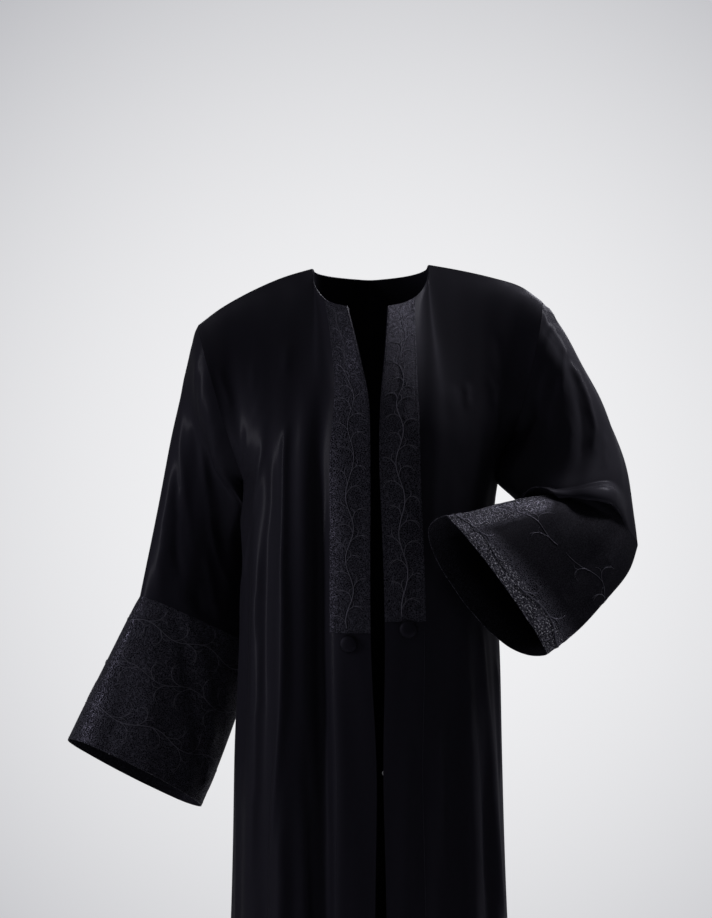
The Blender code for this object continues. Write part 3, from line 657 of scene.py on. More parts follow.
print("a crease is read at", PATH_STEPS, "places")

# %% Rows that say where a crease runs
def creases(face, rows):
    """Creases from rows of width and height in millimetres, the percentages of the length over
    which the two ends fade, and then x and z of every place in millimetres."""
    found = []
    for width, height, start, end, *flat in rows:
        path = tuple((x / 1000, z / 1000) for x, z in zip(flat[::2], flat[1::2]))
        found.append(Crease(face, path, width / 1000, height / 1000, start / 100, end / 100))
    return found


CREASES = {}
print(creases(FRONT, [(4, 1, 25, 35, 0, 0, 0, -50)]))

# %% Creases of the right front
CREASES["front_right"] = creases(FRONT, (
    (4.0, 1.7, 25, 35, -153, -158, -157, -225, -160, -285, -158, -326),
    (4.4, 1.9, 22, 22, -130, -162, -137, -211, -146, -270, -156, -330, -163, -395,
     -166, -442),
    (4.8, 3.6, 4, 18, -103, -152, -106, -196, -107, -262, -108, -335, -109, -490, -116, -603,
     -123, -768, -131, -980, -136, -1180),
    (5.6, 1.3, 40, 40, -103, -47, -104, -103),
    (5.2, 0.6, 35, 30, -147, -77, -145, -126),
    (4.8, 1.2, 30, 30, -195, -73, -182, -114, -170, -148),
    (5.6, 1.5, 35, 35, -137, -306, -142, -372, -147, -438),
    (6.4, 1.9, 30, 35, -139, -398, -140, -511, -144, -625, -149, -760),
    (7.2, 2.5, 12, 15, -160, -332, -161, -420, -166, -535, -166, -649, -166, -776,
     -176, -980, -186, -1230),
    (10.0, -2.3, 10, 10, -63, -69, -61, -230, -61, -378, -59, -546, -52, -658, -50, -766,
     -52, -930, -58, -1150, -62, -1370),
    (8.1, -3.6, 30, 35, -82, -501, -76, -600, -71, -699, -68, -790, -70, -960),
    (6.8, -1.8, 20, 30, -119, -180, -124, -262, -129, -342, -131, -429, -132, -528),
    (6.8, 0.2, 35, 25, -163, -112, -147, -127, -139, -150),
    (4.5, 0.2, 30, 12, -134, -127, -142, -145, -150, -164),
    (4.5, 0.2, 30, 15, -122, -135, -129, -155, -138, -182),
    (9.0, 2.7, 35, 35, -103, -600, -108, -674, -108, -766, -106, -880, -110, -1020),
    (10.4, 0.9, 30, 35, -87, -69, -83, -155, -81, -254, -83, -353),
    (9.9, 3.9, 30, 5, -92, -840, -94, -1010, -98, -1200, -100, -1370),
    (8.6, -3.3, 35, 5, -112, -940, -118, -1120, -120, -1370),
    (9.5, -3.7, 30, 5, -150, -860, -156, -1050, -160, -1370),
    (10.8, 2.5, 35, 5, -28, -760, -26, -980, -30, -1370),
))
print(len(CREASES["front_right"]), "creases on the right front")

# %% Creases of the left front
CREASES["front_left"] = creases(FRONT, (
    (6.6, -1.0, 30, 25, 163, -40, 164, -70, 174, -112),
    (4.5, 0.8, 25, 25, 158, -104, 158, -130, 162, -176),
    (4.5, 0.6, 35, 15, 147, -94, 153, -117, 156, -140),
    (10.2, -0.5, 30, 25, 108, -175, 110, -209, 119, -250),
    (8.5, -0.7, 30, 30, 140, -150, 144, -199, 150, -252),
    (4.5, 1.2, 30, 35, 122, -108, 122, -126, 121, -146),
    (12.7, 1.0, 35, 40, 104, -108, 104, -130, 106, -156),
    (5.9, 2.2, 15, 30, 115, -395, 120, -446, 124, -528, 131, -596),
    (5.6, 2.8, 6, 20, 138, -400, 141, -443, 147, -512, 155, -607, 167, -776, 178, -960,
     186, -1160),
    (5.9, 3.4, 20, 35, 160, -446, 162, -541, 164, -640),
    (7.7, -3.3, 12, 20, 130, -429, 135, -511, 142, -606, 150, -772, 158, -980, 164, -1220),
    (10.6, -2.3, 12, 5, 97, -390, 102, -477, 109, -576, 115, -688, 119, -780, 124, -960,
     132, -1180, 136, -1370),
    (10.8, 2.9, 25, 30, 87, -452, 87, -551, 90, -662, 95, -780, 98, -950),
    (7.7, 2.5, 35, 35, 135, -615, 137, -689, 143, -790, 148, -930),
    (10.8, -3.7, 30, 5, 72, -820, 72, -1010, 78, -1200, 80, -1370),
    (9.5, 3.6, 30, 5, 104, -900, 108, -1080, 112, -1370),
    (8.6, 3.3, 30, 5, 148, -900, 154, -1120, 160, -1370),
    (9.9, -2.3, 35, 35, 58, -500, 60, -640, 56, -800),
))
print(len(CREASES["front_left"]), "creases on the left front")

# %% Creases of the back
CREASES["back"] = creases(BACK, (
    (8.1, 3.2, 30, 35, -100, -75, -106, -150, -102, -240),
    (6.3, 3.7, 20, 30, -138, -90, -140, -180, -134, -290, -132, -400),
    (7.7, -3.4, 25, 30, -120, -120, -122, -230, -116, -360),
    (9.9, 3.0, 30, 35, -60, -30, -66, -110, -70, -220, -66, -340),
    (10.8, -2.9, 30, 35, -20, -60, -24, -180, -22, -330),
    (9.0, 3.4, 25, 35, 34, -40, 40, -150, 38, -290, 44, -420),
    (7.7, -3.5, 30, 30, 86, -50, 94, -150, 92, -260),
    (6.5, 4.0, 20, 25, 122, -60, 128, -160, 122, -280, 126, -420),
    (6.3, -3.2, 30, 30, 150, -80, 152, -150, 144, -240),
    (7.7, 4.5, 15, 5, -112, -400, -118, -560, -124, -760, -134, -1000, -142, -1370),
    (9.0, -4.5, 20, 5, -88, -480, -94, -680, -100, -920, -110, -1370),
    (7.2, 4.0, 20, 30, -60, -380, -64, -540, -68, -740, -74, -980),
    (9.9, -4.0, 25, 5, -40, -700, -46, -920, -52, -1150, -54, -1370),
    (7.7, 4.5, 20, 25, -14, -420, -16, -640, -14, -900, -18, -1160),
    (9.0, -4.6, 20, 5, 16, -560, 20, -800, 24, -1050, 26, -1370),
    (7.0, 3.8, 20, 30, 42, -460, 48, -640, 52, -860),
    (8.6, 4.6, 25, 5, 58, -820, 64, -1020, 70, -1370),
    (9.0, -4.2, 20, 25, 76, -380, 84, -560, 90, -780, 98, -1060),
    (7.4, 4.8, 15, 5, 110, -340, 116, -520, 122, -720, 134, -1000, 142, -1370),
    (9.0, -3.8, 20, 5, 138, -480, 146, -700, 156, -960, 164, -1370),
    (9.5, -3.7, 20, 5, -146, -520, -152, -760, -162, -1050, -170, -1370),
))
print(len(CREASES["back"]), "creases on the back")

# %% Creases of the right sleeve
CREASES["sleeve_right"] = creases(FRONT, (
    (6.1, 1.2, 10, 20, -220, -50, -231, -79, -240, -128, -241, -166, -238, -225, -232, -279,
     -222, -336),
    (5.6, 1.5, 14, 16, -216, -60, -221, -125, -215, -181, -208, -241, -200, -301, -186, -355,
     -171, -394),
    (6.8, -1.4, 15, 25, -210, -94, -206, -162, -198, -238, -191, -295, -179, -349),
    (6.1, -2.1, 30, 30, -244, -198, -247, -256, -246, -318, -238, -372),
    (7.6, 1.9, 30, 35, -255, -218, -262, -282, -268, -333, -272, -385),
    (6.8, 1.7, 35, 30, -209, -307, -205, -353, -197, -399, -194, -430),
    (7.6, -1.7, 40, 30, -222, -359, -219, -398, -216, -430),
)) + creases(BACK, (
    (6.8, 2.6, 20, 30, -226, -80, -234, -150, -232, -230, -240, -310),
    (7.2, -2.8, 20, 30, -204, -110, -208, -200, -206, -290, -212, -380),
    (6.4, 2.4, 25, 30, -190, -170, -190, -250, -186, -330, -190, -410),
    (6.8, -1.9, 30, 30, -252, -230, -258, -300, -262, -370),
))
print(len(CREASES["sleeve_right"]), "creases on the right sleeve")

# %% Creases of the left sleeve
CREASES["sleeve_left"] = creases(FRONT, (
    (4.5, 1.7, 20, 30, 220, -7, 223, -22, 221, -43),
    (4.5, 2.0, 20, 30, 226, -8, 232, -18, 239, -33),
    (4.5, 1.5, 25, 30, 239, -29, 229, -48, 219, -69),
    (4.8, 2.0, 20, 30, 250, -59, 247, -78, 244, -101, 238, -132),
    (5.6, 3.0, 15, 25, 253, -76, 270, -112, 281, -145, 284, -176, 278, -205),
    (6.8, -1.6, 15, 30, 223, -72, 210, -123, 199, -161, 189, -215),
    (5.6, -1.4, 20, 30, 237, -94, 228, -129, 223, -152, 216, -195),
    (5.1, 1.2, 25, 30, 228, -81, 218, -119, 210, -161, 203, -207),
    (5.9, -1.2, 25, 30, 260, -119, 269, -152, 269, -186, 262, -215),
    (5.1, 0.9, 30, 35, 248, -142, 253, -173, 247, -207),
    (5.6, 1.0, 30, 35, 298, -167, 300, -195, 294, -222),
)) + creases(BACK, (
    (6.4, 2.5, 20, 30, 238, -40, 252, -90, 262, -150, 278, -220),
    (6.8, -2.5, 20, 30, 214, -60, 224, -120, 232, -190, 250, -260),
    (6.4, -2.1, 25, 30, 270, -90, 286, -150, 300, -210, 312, -270),
    (5.9, 2.0, 30, 30, 196, -110, 200, -160, 208, -210),
))
print(len(CREASES["sleeve_left"]), "creases on the left sleeve")

# %% Creases of the cuffs
CREASES["cuff_right"] = creases(FRONT, (
    (10.0, -2.6, 15, 4, -243, -413, -233, -475, -223, -546, -213, -625),
    (8.0, 2.1, 20, 15, -218, -437, -209, -489, -203, -535, -200, -585),
    (16.0, 2.3, 25, 4, -273, -423, -280, -487, -281, -550, -284, -627),
    (11.0, -1.7, 25, 4, -301, -449, -313, -499, -325, -549, -340, -605),
    (7.0, 1.2, 30, 30, -190, -470, -185, -503, -186, -536),
)) + creases(BACK, (
    (12.0, 2.3, 25, 5, -290, -440, -304, -510, -320, -590),
    (11.0, -2.3, 20, 5, -256, -450, -264, -530, -276, -620),
    (11.0, 2.0, 25, 5, -222, -480, -228, -560, -236, -630),
))
CREASES["cuff_left"] = creases(FRONT, (
    (12.0, -2.4, 25, 10, 294, -305, 275, -329, 243, -365, 225, -408),
    (12.0, 2.1, 25, 10, 256, -279, 230, -328, 209, -376, 207, -423),
    (9.0, 1.9, 30, 20, 314, -316, 294, -355, 267, -389),
)) + creases(BACK, (
    (11.0, 2.2, 25, 15, 300, -300, 270, -330, 230, -370),
))
print(sum(len(rows) for rows in CREASES.values()), "creases")

# %% Ripples, and seams that hold the cloth
SEWN = {  # the sewn edges of each kind of piece
    "back": ("top", "start", "end"),
    "front": ("top", "end"),
    "sleeve": ("top", "bottom"),
    "cuff": ("top",),
}
SEAM_REACH = 0.014  # distance from a sewn edge over which the cloth comes free to crease
RIPPLES = (  # waves across and down the cloth in metres, their phase, and their height
    (0.085, 0.90, 0.4, 0.0004),
    (0.052, 0.60, 2.1, 0.0003),
    (0.033, 0.42, 4.0, 0.0002),
    (-0.120, 0.50, 1.3, 0.0004),
)


def seam_mask(cloth, sewn):
    """0 on a sewn edge, rising to 1 a little way into the piece."""
    rows, columns = cloth.points.shape[:2]
    down, across = cloth.down[:, None], cloth.across[None, :columns]
    mask = np.ones((rows, columns))
    reaches = {
        "top": down,
        "bottom": cloth.down[-1] - down,
        "start": across,
        "end": cloth.across[-1] - across,
    }
    for edge in sewn:
        mask = mask * soft(reaches[edge] / SEAM_REACH)
    return mask


def crease_cloth(name, cloth):
    """The cloth with all its creases and a faint ripple."""
    rows, columns = cloth.points.shape[:2]
    mask = seam_mask(cloth, SEWN[name.split("_")[0]])
    girth = cloth.across[-1]
    heights = np.zeros((rows, columns))
    for wide, tall, phase, height in RIPPLES:
        turns = max(1, round(girth / abs(wide))) * math.copysign(1, wide)
        wave = 2 * math.pi * (cloth.across[None, :columns] / girth * turns)
        heights += height * np.sin(wave + 2 * math.pi * cloth.down[:, None] / tall + phase)
    for crease in CREASES[name]:
        heights += crease_heights(cloth, crease)
    points = cloth.points + cloth.normals * (heights * mask)[:, :, None]
    return cloth._replace(points=points, normals=outward_normals(points, cloth.closed))


for name in CLOTHS:
    CLOTHS[name] = crease_cloth(name, CLOTHS[name])
print(len(CLOTHS), "cloths creased")

# %% [markdown]
# ## Cloth that is pushed
# Some places are fuller than a fold: the cloth gathers under the arms, and at the bent elbow it
# rolls over the seam of the cuff. By hand they would be grabbed and pulled with a soft brush,
# and a push does the same: it moves all the cloth near a spot one way, most at the spot and not
# at all at its reach. The roll swells the last rows of the sleeve and carries them forward over
# the seam, and comes back to the seam itself.

# %% Pushes and the rolled sleeve end
Push = namedtuple("Push", "name spot reach shift")
UNDER_ARM = (-0.160, -0.010, -0.290), (0.060, 0.060, 0.045), (-0.0030, 0.0, 0.0)
PUSHES = (
    Push("sleeve_right", (-0.168, 0.018, -0.252), (0.045, 0.065, 0.060), (0.0175, -0.0070, 0.0)),
    Push("sleeve_left", (0.186, -0.040, -0.212), (0.060, 0.080, 0.064), (-0.026, -0.010, -0.002)),
    Push("front_right", *UNDER_ARM),
    Push("back", *UNDER_ARM),
)
PUSH_FREE = 0.018  # distance from a seam over which a push takes hold
ROLL_REACH = 0.042  # how far back from the seam the roll starts
ROLL_SWELL = 0.0140  # how far it stands out
ROLL_CARRY = 0.0075  # how far it hangs over the seam
ROLL_FACE = (0.35, -0.80, 0.45)  # the way that its fullest part faces
ROLL_FREE = 0.004  # distance from the seam over which the swelling takes hold
ROLL_WAVES, ROLL_WAVE = 5, 0.22  # waves around the arm, and their share of the swelling
ROLL_EDGE, ROLL_FADE = 0.335, 0.032  # x where the roll has died out, and the width of its fade


def push_cloth(cloth, push):
    """The cloth with its part near the push's spot shifted, and its seams left alone."""
    away = np.linalg.norm((cloth.points - push.spot) / np.array(push.reach), axis=2)
    free = soft(cloth.down / PUSH_FREE) * soft((cloth.down[-1] - cloth.down) / PUSH_FREE)
    share = soft(1.0 - away) * free[:, None]
    points = cloth.points + share[:, :, None] * np.array(push.shift)
    return cloth._replace(points=points, normals=outward_normals(points, cloth.closed))


def roll_end(cloth):
    """Rolls the last rows of a sleeve over its seam, most on the front and not at the elbow."""
    left = (cloth.down[-1] - cloth.down)[:, None]
    share = np.clip(left / ROLL_REACH, 0.0, 1.0)
    swell = np.sin(math.pi * share**0.55) * soft(left / ROLL_FREE)
    carry = np.sin(math.pi * np.clip(left / (ROLL_REACH * 0.6), 0.0, 1.0) ** 0.6)
    facing = cloth.normals @ np.array(ROLL_FACE)
    turns = 2 * math.pi * cloth.across[None, : cloth.points.shape[1]] / cloth.across[-1]
    full = soft((facing + 0.35) / 0.9) * (0.80 + ROLL_WAVE * np.sin(ROLL_WAVES * turns + 0.6))
    full *= soft((ROLL_EDGE - cloth.points[:, :, 0]) / ROLL_FADE)
    onward = np.gradient(cloth.points, axis=0)
    onward /= np.linalg.norm(onward, axis=2, keepdims=True)
    points = (
        cloth.points
        + cloth.normals * (ROLL_SWELL * swell * full)[:, :, None]
        + onward * (ROLL_CARRY * carry * full)[:, :, None]
    )
    return cloth._replace(points=points, normals=outward_normals(points, cloth.closed))


for push in PUSHES:
    CLOTHS[push.name] = push_cloth(CLOTHS[push.name], push)
CLOTHS["sleeve_left"] = roll_end(CLOTHS["sleeve_left"])
print(len(PUSHES), "pushes and one rolled end")

# %% [markdown]
# ## Crepe and jacquard
# Crepe is woven from hard-twisted yarn, so it is matt and slightly pebbled, and takes only a
# soft satin light. The jacquard's ground is a fine glossy crackle. On the left cuff the crackle is
# painted highlight, with painted glints, along the hem and the forearm, and faint as painted shade
# elsewhere.
# Pictures of cloth could be wrapped on the pieces, but noise, wave and cell patterns stay sharp
# at any distance. Both finishes read the piece's UV map, laid out in metres, so the patterns
# lie along the cloth.

# %% Black crepe
BLUE_BLACK = (0.80, 0.76, 1.0, 1.0)  # tint of the shine, which turns the black a little blue
CREPE_DARK, CREPE_LIGHT = (0.0034, 0.0031, 0.0052, 1.0), (0.0048, 0.0045, 0.0070, 1.0)


def cloth_tree(name, colour, roughness, specular):
    """A cloth finish to build on: its material, nodes, shader, and place on the cut."""
    material = bpy.data.materials.new(name)
    tree = tree_of(material)
    shader = tree.nodes["Principled BSDF"]
    set_inputs(
        tree, shader, Base_Color=(*colour, 1.0), Roughness=roughness,
        Specular_IOR_Level=specular, Specular_Tint=BLUE_BLACK,
    )
    place = add_node(tree, "UVMap", {"uv_map": "cut"}).outputs["UV"]
    return material, tree, shader, place


def make_crepe():
    material, tree, shader, place = cloth_tree("black_crepe", (0.0036, 0.0033, 0.0054), 0.70, 0.20)
    slub = add_noise(tree, place, 38.0, 3.0)
    pebble = add_noise(tree, place, 1500.0, 2.0)
    yarn = add_node(
        tree, "TexWave", {"bands_direction": "Y"}, Vector=place, Scale=520.0, Distortion=3.0
    )
    grain = add_math(tree, "MULTIPLY_ADD", yarn.outputs[0], 0.35, pebble)
    set_inputs(
        tree, shader, Base_Color=add_blend(tree, slub, CREPE_DARK, CREPE_LIGHT),
        Roughness=add_range(tree, slub, 0.66, 0.74), Coat_Weight=0.055, Coat_Roughness=0.24,
        Sheen_Weight=0.02, Sheen_Roughness=0.35, Normal=add_bump(tree, grain, 0.30, 0.00007),
    )
    return material


CREPE = make_crepe()
print("material", CREPE.name)

# %% Black jacquard
CRACKLE = 500.0  # cells a metre, each about 2 mm across
GROUND, VEIN = (0.0026, 0.0025, 0.0038, 1.0), (0.0580, 0.0570, 0.0700, 1.0)
# colour of the painted glints: bright spots that stand in for sparkle off the lit crackle
PAINTED_GLINT = (0.460, 0.460, 0.490, 1.0)
PAINTED_GLINT_STRENGTHS = 0.90, 0.98  # strengths of the crackle at which the painted glints start and are full


def make_jacquard():
    material, tree, shader, place = cloth_tree(
        "black_jacquard", (0.006, 0.006, 0.007), 0.40, 0.22
    )
    border = add_node(tree, "Attribute", {"attribute_name": "border"}).outputs["Fac"]
    worm = add_node(tree, "TexNoise", Vector=place, Scale=220.0, Detail=2.0)
    bent = add_node(
        tree, "VectorMath", {"operation": "MULTIPLY_ADD"}, _0=worm.outputs["Color"],
        _1=(0.0035, 0.0035, 0.0), _2=place,
    )
    cells = add_node(
        tree, "TexVoronoi", {"feature": "DISTANCE_TO_EDGE"}, Vector=bent.outputs[0], Scale=CRACKLE
    )
    vein = add_range(tree, cells.outputs[0], 1.0, 0.0, True, From_Min=0.02, From_Max=0.18)
    raised = add_math(tree, "MULTIPLY", vein, border)
    # painted glints, in spots where the crackle is strongest, which is on the lit parts of the
    # left cuff
    speck = add_noise(tree, place, 480.0, 2.0)
    glint_spots = add_range(tree, speck, 0.0, 1.0, True, From_Min=0.56, From_Max=0.64)
    bright = add_range(tree, border, 0.0, 1.0, From_Min=PAINTED_GLINT_STRENGTHS[0], From_Max=PAINTED_GLINT_STRENGTHS[1])
    glint = add_math(tree, "MULTIPLY", glint_spots, bright)
    # lighter where the crackle is strong, which on the left cuff is painted highlight
    tone = add_blend(tree, raised, GROUND, VEIN)
    relief = add_math(tree, "MULTIPLY_ADD", add_noise(tree, place, 1700.0, 1.0), 0.22, raised)
    set_inputs(
        tree, shader, Base_Color=add_blend(tree, glint, tone, PAINTED_GLINT),
        Roughness=add_range(tree, raised, 0.66, 0.24),
        Specular_IOR_Level=add_range(tree, raised, 0.05, 0.50),
        Normal=add_bump(tree, relief, 0.8, 0.00030),
    )
    return material


JACQUARD = make_jacquard()
print("material", JACQUARD.name)

# %% Cord, button and metal finishes
UNEVEN = 0.06  # how far the roughness strays to either side


def made_finish(name, dark, light, roughness, specular, metallic, scale, grain):
    """A finish for small pieces, patterned by their own Object coordinates."""
    material = bpy.data.materials.new(name)
    tree = tree_of(material)
    shader = tree.nodes["Principled BSDF"]
    noise = add_noise(tree, add_node(tree, "TexCoord").outputs["Object"], scale, 2.0)
    set_inputs(
        tree, shader, Base_Color=add_blend(tree, noise, (*dark, 1.0), (*light, 1.0)),
        Roughness=add_range(tree, noise, roughness - UNEVEN, roughness + UNEVEN),
        Specular_IOR_Level=specular, Metallic=metallic, Normal=add_bump(tree, noise, 0.5, grain),
    )
    if not metallic:
        set_inputs(tree, shader, Specular_Tint=BLUE_BLACK)
    return material


# the black cord is painted grey: its own dark colour with painted sheen, so the raised vines read
# as light lines
SHEENED_CORD = made_finish(
    "black_cord", (0.067, 0.065, 0.078), (0.102, 0.100, 0.116), 0.38, 0.50, 0.0, 900.0, 0.0001
)
BUTTON_CLOTH = made_finish(
    "button_crepe", (0.0028, 0.0026, 0.0042), (0.0044, 0.0042, 0.0062), 0.56, 0.20, 0.0, 1400.0,
    0.00008,
)
METAL = made_finish(
    "stud_steel", (0.52, 0.52, 0.54), (0.70, 0.70, 0.72), 0.26, 0.5, 1.0, 600.0, 0.00003
)
THREAD = made_finish(
    "black_thread", (0.006, 0.006, 0.008), (0.014, 0.014, 0.017), 0.38, 0.4, 0.0, 2000.0, 0.00004
)
print("finishes", SHEENED_CORD.name, BUTTON_CLOTH.name, METAL.name, THREAD.name)

# %% [markdown]
# ## The shells
# A shell is the creased cloth, a second skin a cloth's thickness inside it, and a rim at each
# edge. Solidify could add the second skin, but building it here gives both skins the same UV
# map in metres, which keeps the weave's scale true on the inside as well.

# %% The faces of a shell
WALL = 0.0011  # thickness of the crepe and of the cuffs


def shell_faces(rows, columns, closed, flip):
    """Quads of the outer skin, the inner skin and the rims, as indexes into their points."""
    across = columns if closed else columns - 1
    row, column = np.meshgrid(np.arange(rows - 1), np.arange(across), indexing="ij")
    here, beside = row * columns + column, row * columns + (column + 1) % columns
    skin = np.stack([here, here + columns, beside + columns, beside], axis=-1).reshape(-1, 4)
    inner = skin[:, ::-1] + rows * columns
    edges = []
    low, high = np.arange(across), (np.arange(across) + 1) % columns
    last = (rows - 1) * columns
    edges.append(np.stack([low, high], axis=-1))
    edges.append(np.stack([last + high, last + low], axis=-1))
    if not closed:
        step = np.arange(rows - 1) * columns
        edges.append(np.stack([step + columns, step], axis=-1))
        edges.append(np.stack([step + columns - 1, step + 2 * columns - 1], axis=-1))
    edges = np.concatenate(edges)
    count = rows * columns
    rims = np.stack([edges[:, 0], edges[:, 1], edges[:, 1] + count, edges[:, 0] + count], axis=-1)
    faces = np.concatenate([skin, inner, rims])
    return faces[:, ::-1] if flip else faces


def faces_outward(points, normals):
    """Whether quads that run down and then across the grid turn their face outward."""
    down = points[1:, :-1] - points[:-1, :-1]
    across = points[:-1, 1:] - points[:-1, :-1]
    return float((np.cross(down, across) * normals[:-1, :-1]).sum()) > 0


print("cloth", WALL, "m thick")

# %% The mesh of a shell
INSIDE = 0.25  # strength of the crackle on the inner skin
SHARP = math.radians(55)  # a rim's edge is sharper than this and stays crisp


def shell_mesh(name, outer, inner, cloth, border):
    """The shell's mesh, with its UV map in metres and the crackle's strength at every point, which
    on the left cuff is painted light.
    """
    rows, columns = outer.shape[:2]
    flip = not faces_outward(outer, outer - inner)
    faces = shell_faces(rows, columns, cloth.closed, flip)
    mesh = bpy.data.meshes.new(name)
    points = np.concatenate([outer.reshape(-1, 3), inner.reshape(-1, 3)])
    mesh.from_pydata(points.tolist(), [], faces.tolist())
    across = cloth.across[:columns]
    u, v = np.meshgrid(across, cloth.down[:rows])
    spots = np.tile(np.stack([u.ravel(), -v.ravel()], axis=-1), (2, 1))[faces]
    if cloth.closed:  # the last column's quads end at the full girth, not back at 0
        girth = cloth.across[-1]
        turned = np.ptp(spots[:, :, 0], axis=1)[:, None] > girth / 2
        spots[:, :, 0] += (turned & (spots[:, :, 0] < girth / 2)) * girth
    layer = mesh.uv_layers.new(name="cut")
    layer.data.foreach_set("uv", spots.reshape(-1))
    share = mesh.attributes.new("border", "FLOAT", "POINT")
    seen = np.broadcast_to(border, (rows, columns)).ravel()
    share.data.foreach_set("value", np.concatenate([seen, seen * INSIDE]))
    mesh.shade_smooth()
    mesh.set_sharp_from_angle(angle=SHARP)
    mesh.update()
    return mesh


print("crackle on the inside at", INSIDE, "of its strength")

# %% Finished pieces
def add_piece(name, mesh, material, slot, *nodes):
    """A finished piece that rides on the one body, in its finish, in place of its CAD nodes."""
    piece = bpy.data.objects.new(name, mesh)
    bpy.context.scene.collection.objects.link(piece)
    if not mesh.materials:
        mesh.materials.append(material)
    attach(piece, "root")
    if nodes:
        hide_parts(*nodes)
    return piece


def skin_area(points, closed):
    """Area of a grid of points, in square metres."""
    if closed:
        points = np.concatenate([points, points[:, :1]], axis=1)
    down = points[1:, :-1] - points[:-1, :-1]
    across = points[:-1, 1:] - points[:-1, :-1]
    return float(np.linalg.norm(np.cross(down, across), axis=2).sum())


print("back before its shell", round(skin_area(CLOTHS["back"].points, False), 3), "m2")

# %% Back, fronts and sleeves in crepe, cuffs in jacquard
LIT_HEM_WIDTH = 0.036  # width of the painted highlight, a close crackle, along the left cuff's hem
LEFT_SHADED_CRACKLE, RIGHT_CRACKLE = 0.11, 0.89  # strength of the crackle on the rest of each cuff, faint on the left as painted shade
FOREARM_X, FOREARM_Z, FOREARM_SLOPE = 0.131, -0.269, 0.266  # line of its top in the front view
FOREARM_END = 0.236  # x at which the painted highlight along it ends
FOREARM_DEPTH = 0.026  # how far below that line it goes


def crackle_with_painted_light(name, cloth):
    """The crackle is even on the right cuff. On the left one it is close along the hem and along
    the top of the forearm, as painted highlight where the light falls, and faint elsewhere, as
    painted shade."""
    if name == "cuff_right":
        return RIGHT_CRACKLE
    if name != "cuff_left":
        return 1.0
    # painted highlight along the hem, which tilts toward the light
    lit_hem = soft(1.6 - (cloth.down[-1] - cloth.down) / LIT_HEM_WIDTH)[:, None]
    x, z = cloth.points[:, :, 0], cloth.points[:, :, 2]
    below = FOREARM_Z + FOREARM_SLOPE * (x - FOREARM_X) - z
    # painted highlight along the top of the forearm, where it faces the light
    upper = soft((FOREARM_DEPTH - below) / 0.010) * soft((FOREARM_END - x) / 0.02)
    return np.maximum(LEFT_SHADED_CRACKLE + (1.0 - LEFT_SHADED_CRACKLE) * lit_hem, upper)


for name, cloth in CLOTHS.items():
    inner = cloth.points - cloth.normals * WALL
    mesh = shell_mesh(name + "_cloth", cloth.points, inner, cloth, crackle_with_painted_light(name, cloth))
    finish, slot = (JACQUARD, "jacquard") if name.startswith("cuff") else (CREPE, "crepe")
    add_piece(name + "_cloth", mesh, finish, slot, name)
    area = skin_area(cloth.points, cloth.closed)
    print(name, "area", round(area, 3), "m2,", len(mesh.polygons), "faces")

# %% [markdown]
# ## The bands
# Each band is a straight strip sewn flat on the edge of its front, from the neckline to below
# the waist. A strip of its own could be wrapped on the front, but it might dip into a crease.
# Made from the front's own points, moved out by its thickness, it follows every crease.

# %% Bands along the front edges
SEAM_GAP = 0.0003
BAND_WALL = 0.0013
BAND_CRACKLE = 0.70  # strength of the crackle on the bands
BANDS = {}
for word in WORD.values():
    front, cut = CLOTHS["front_" + word], GRIDS["band_" + word]
    rows = front.row_stops[cut.shape[0] - 1] + 1
    columns = front.column_stops[cut.shape[1] - 1] + 1
    points, normals = front.points[:rows, :columns], front.normals[:rows, :columns]
    outer = points + normals * (SEAM_GAP + BAND_WALL)
    inner = points + normals * SEAM_GAP
    band = Cloth(outer, normals, front.down[:rows], front.across[:columns], None, None, False)
    name = "band_" + word
    mesh = shell_mesh(name + "_cloth", outer, inner, band, BAND_CRACKLE)
    add_piece(name + "_cloth", mesh, JACQUARD, "jacquard", name)
    BANDS[word] = band
    print(name, "area", round(skin_area(outer, False), 4), "m2")

# %% [markdown]
# ## Corded vines
# The jacquard carries climbing vines in a fine raised cord: a stem that sways, and shoots that
# leave it on one side and the other, rise along it and curl over. A bump pattern would look
# flat from the side, so each vine is drawn in metres on the flat piece and then laid on the
# cloth as a thin tapered cord.

# %% Drawing a vine
Vine = namedtuple("Vine", "start end sway waves spacing shoot radius seed")
DRAW_STEP = 0.0024
SHOOT_LEAN, TWIG_LEAN = 0.35, 0.5  # angles at which shoots and twigs leave
TWIGS = ((0.45, -1.0), (0.72, 0.6))  # share of the shoot where each twig leaves, and its side
TWIG_TURN = 1.5
SHOOT_RADIUS, TWIG_RADIUS = 0.8, 0.65  # thickness beside that of the stem


def curled(start, heading, size, turn):
    """A shoot that leaves along its heading and turns more and more towards its tip."""
    steps = max(5, round(size / DRAW_STEP))
    share = np.linspace(0.0, 1.0, steps)
    ways = heading + turn * share**1.3
    moves = np.stack([np.cos(ways), np.sin(ways)], axis=-1) * size / steps
    return np.concatenate([[start], start + np.cumsum(moves, axis=0)])


def branch(line, share, lean):
    """The point at a share of a line, and the heading there, turned by lean."""
    index = int(share * (len(line) - 2))
    ahead = line[index + 1] - line[index]
    return line[index], math.atan2(ahead[1], ahead[0]) + lean


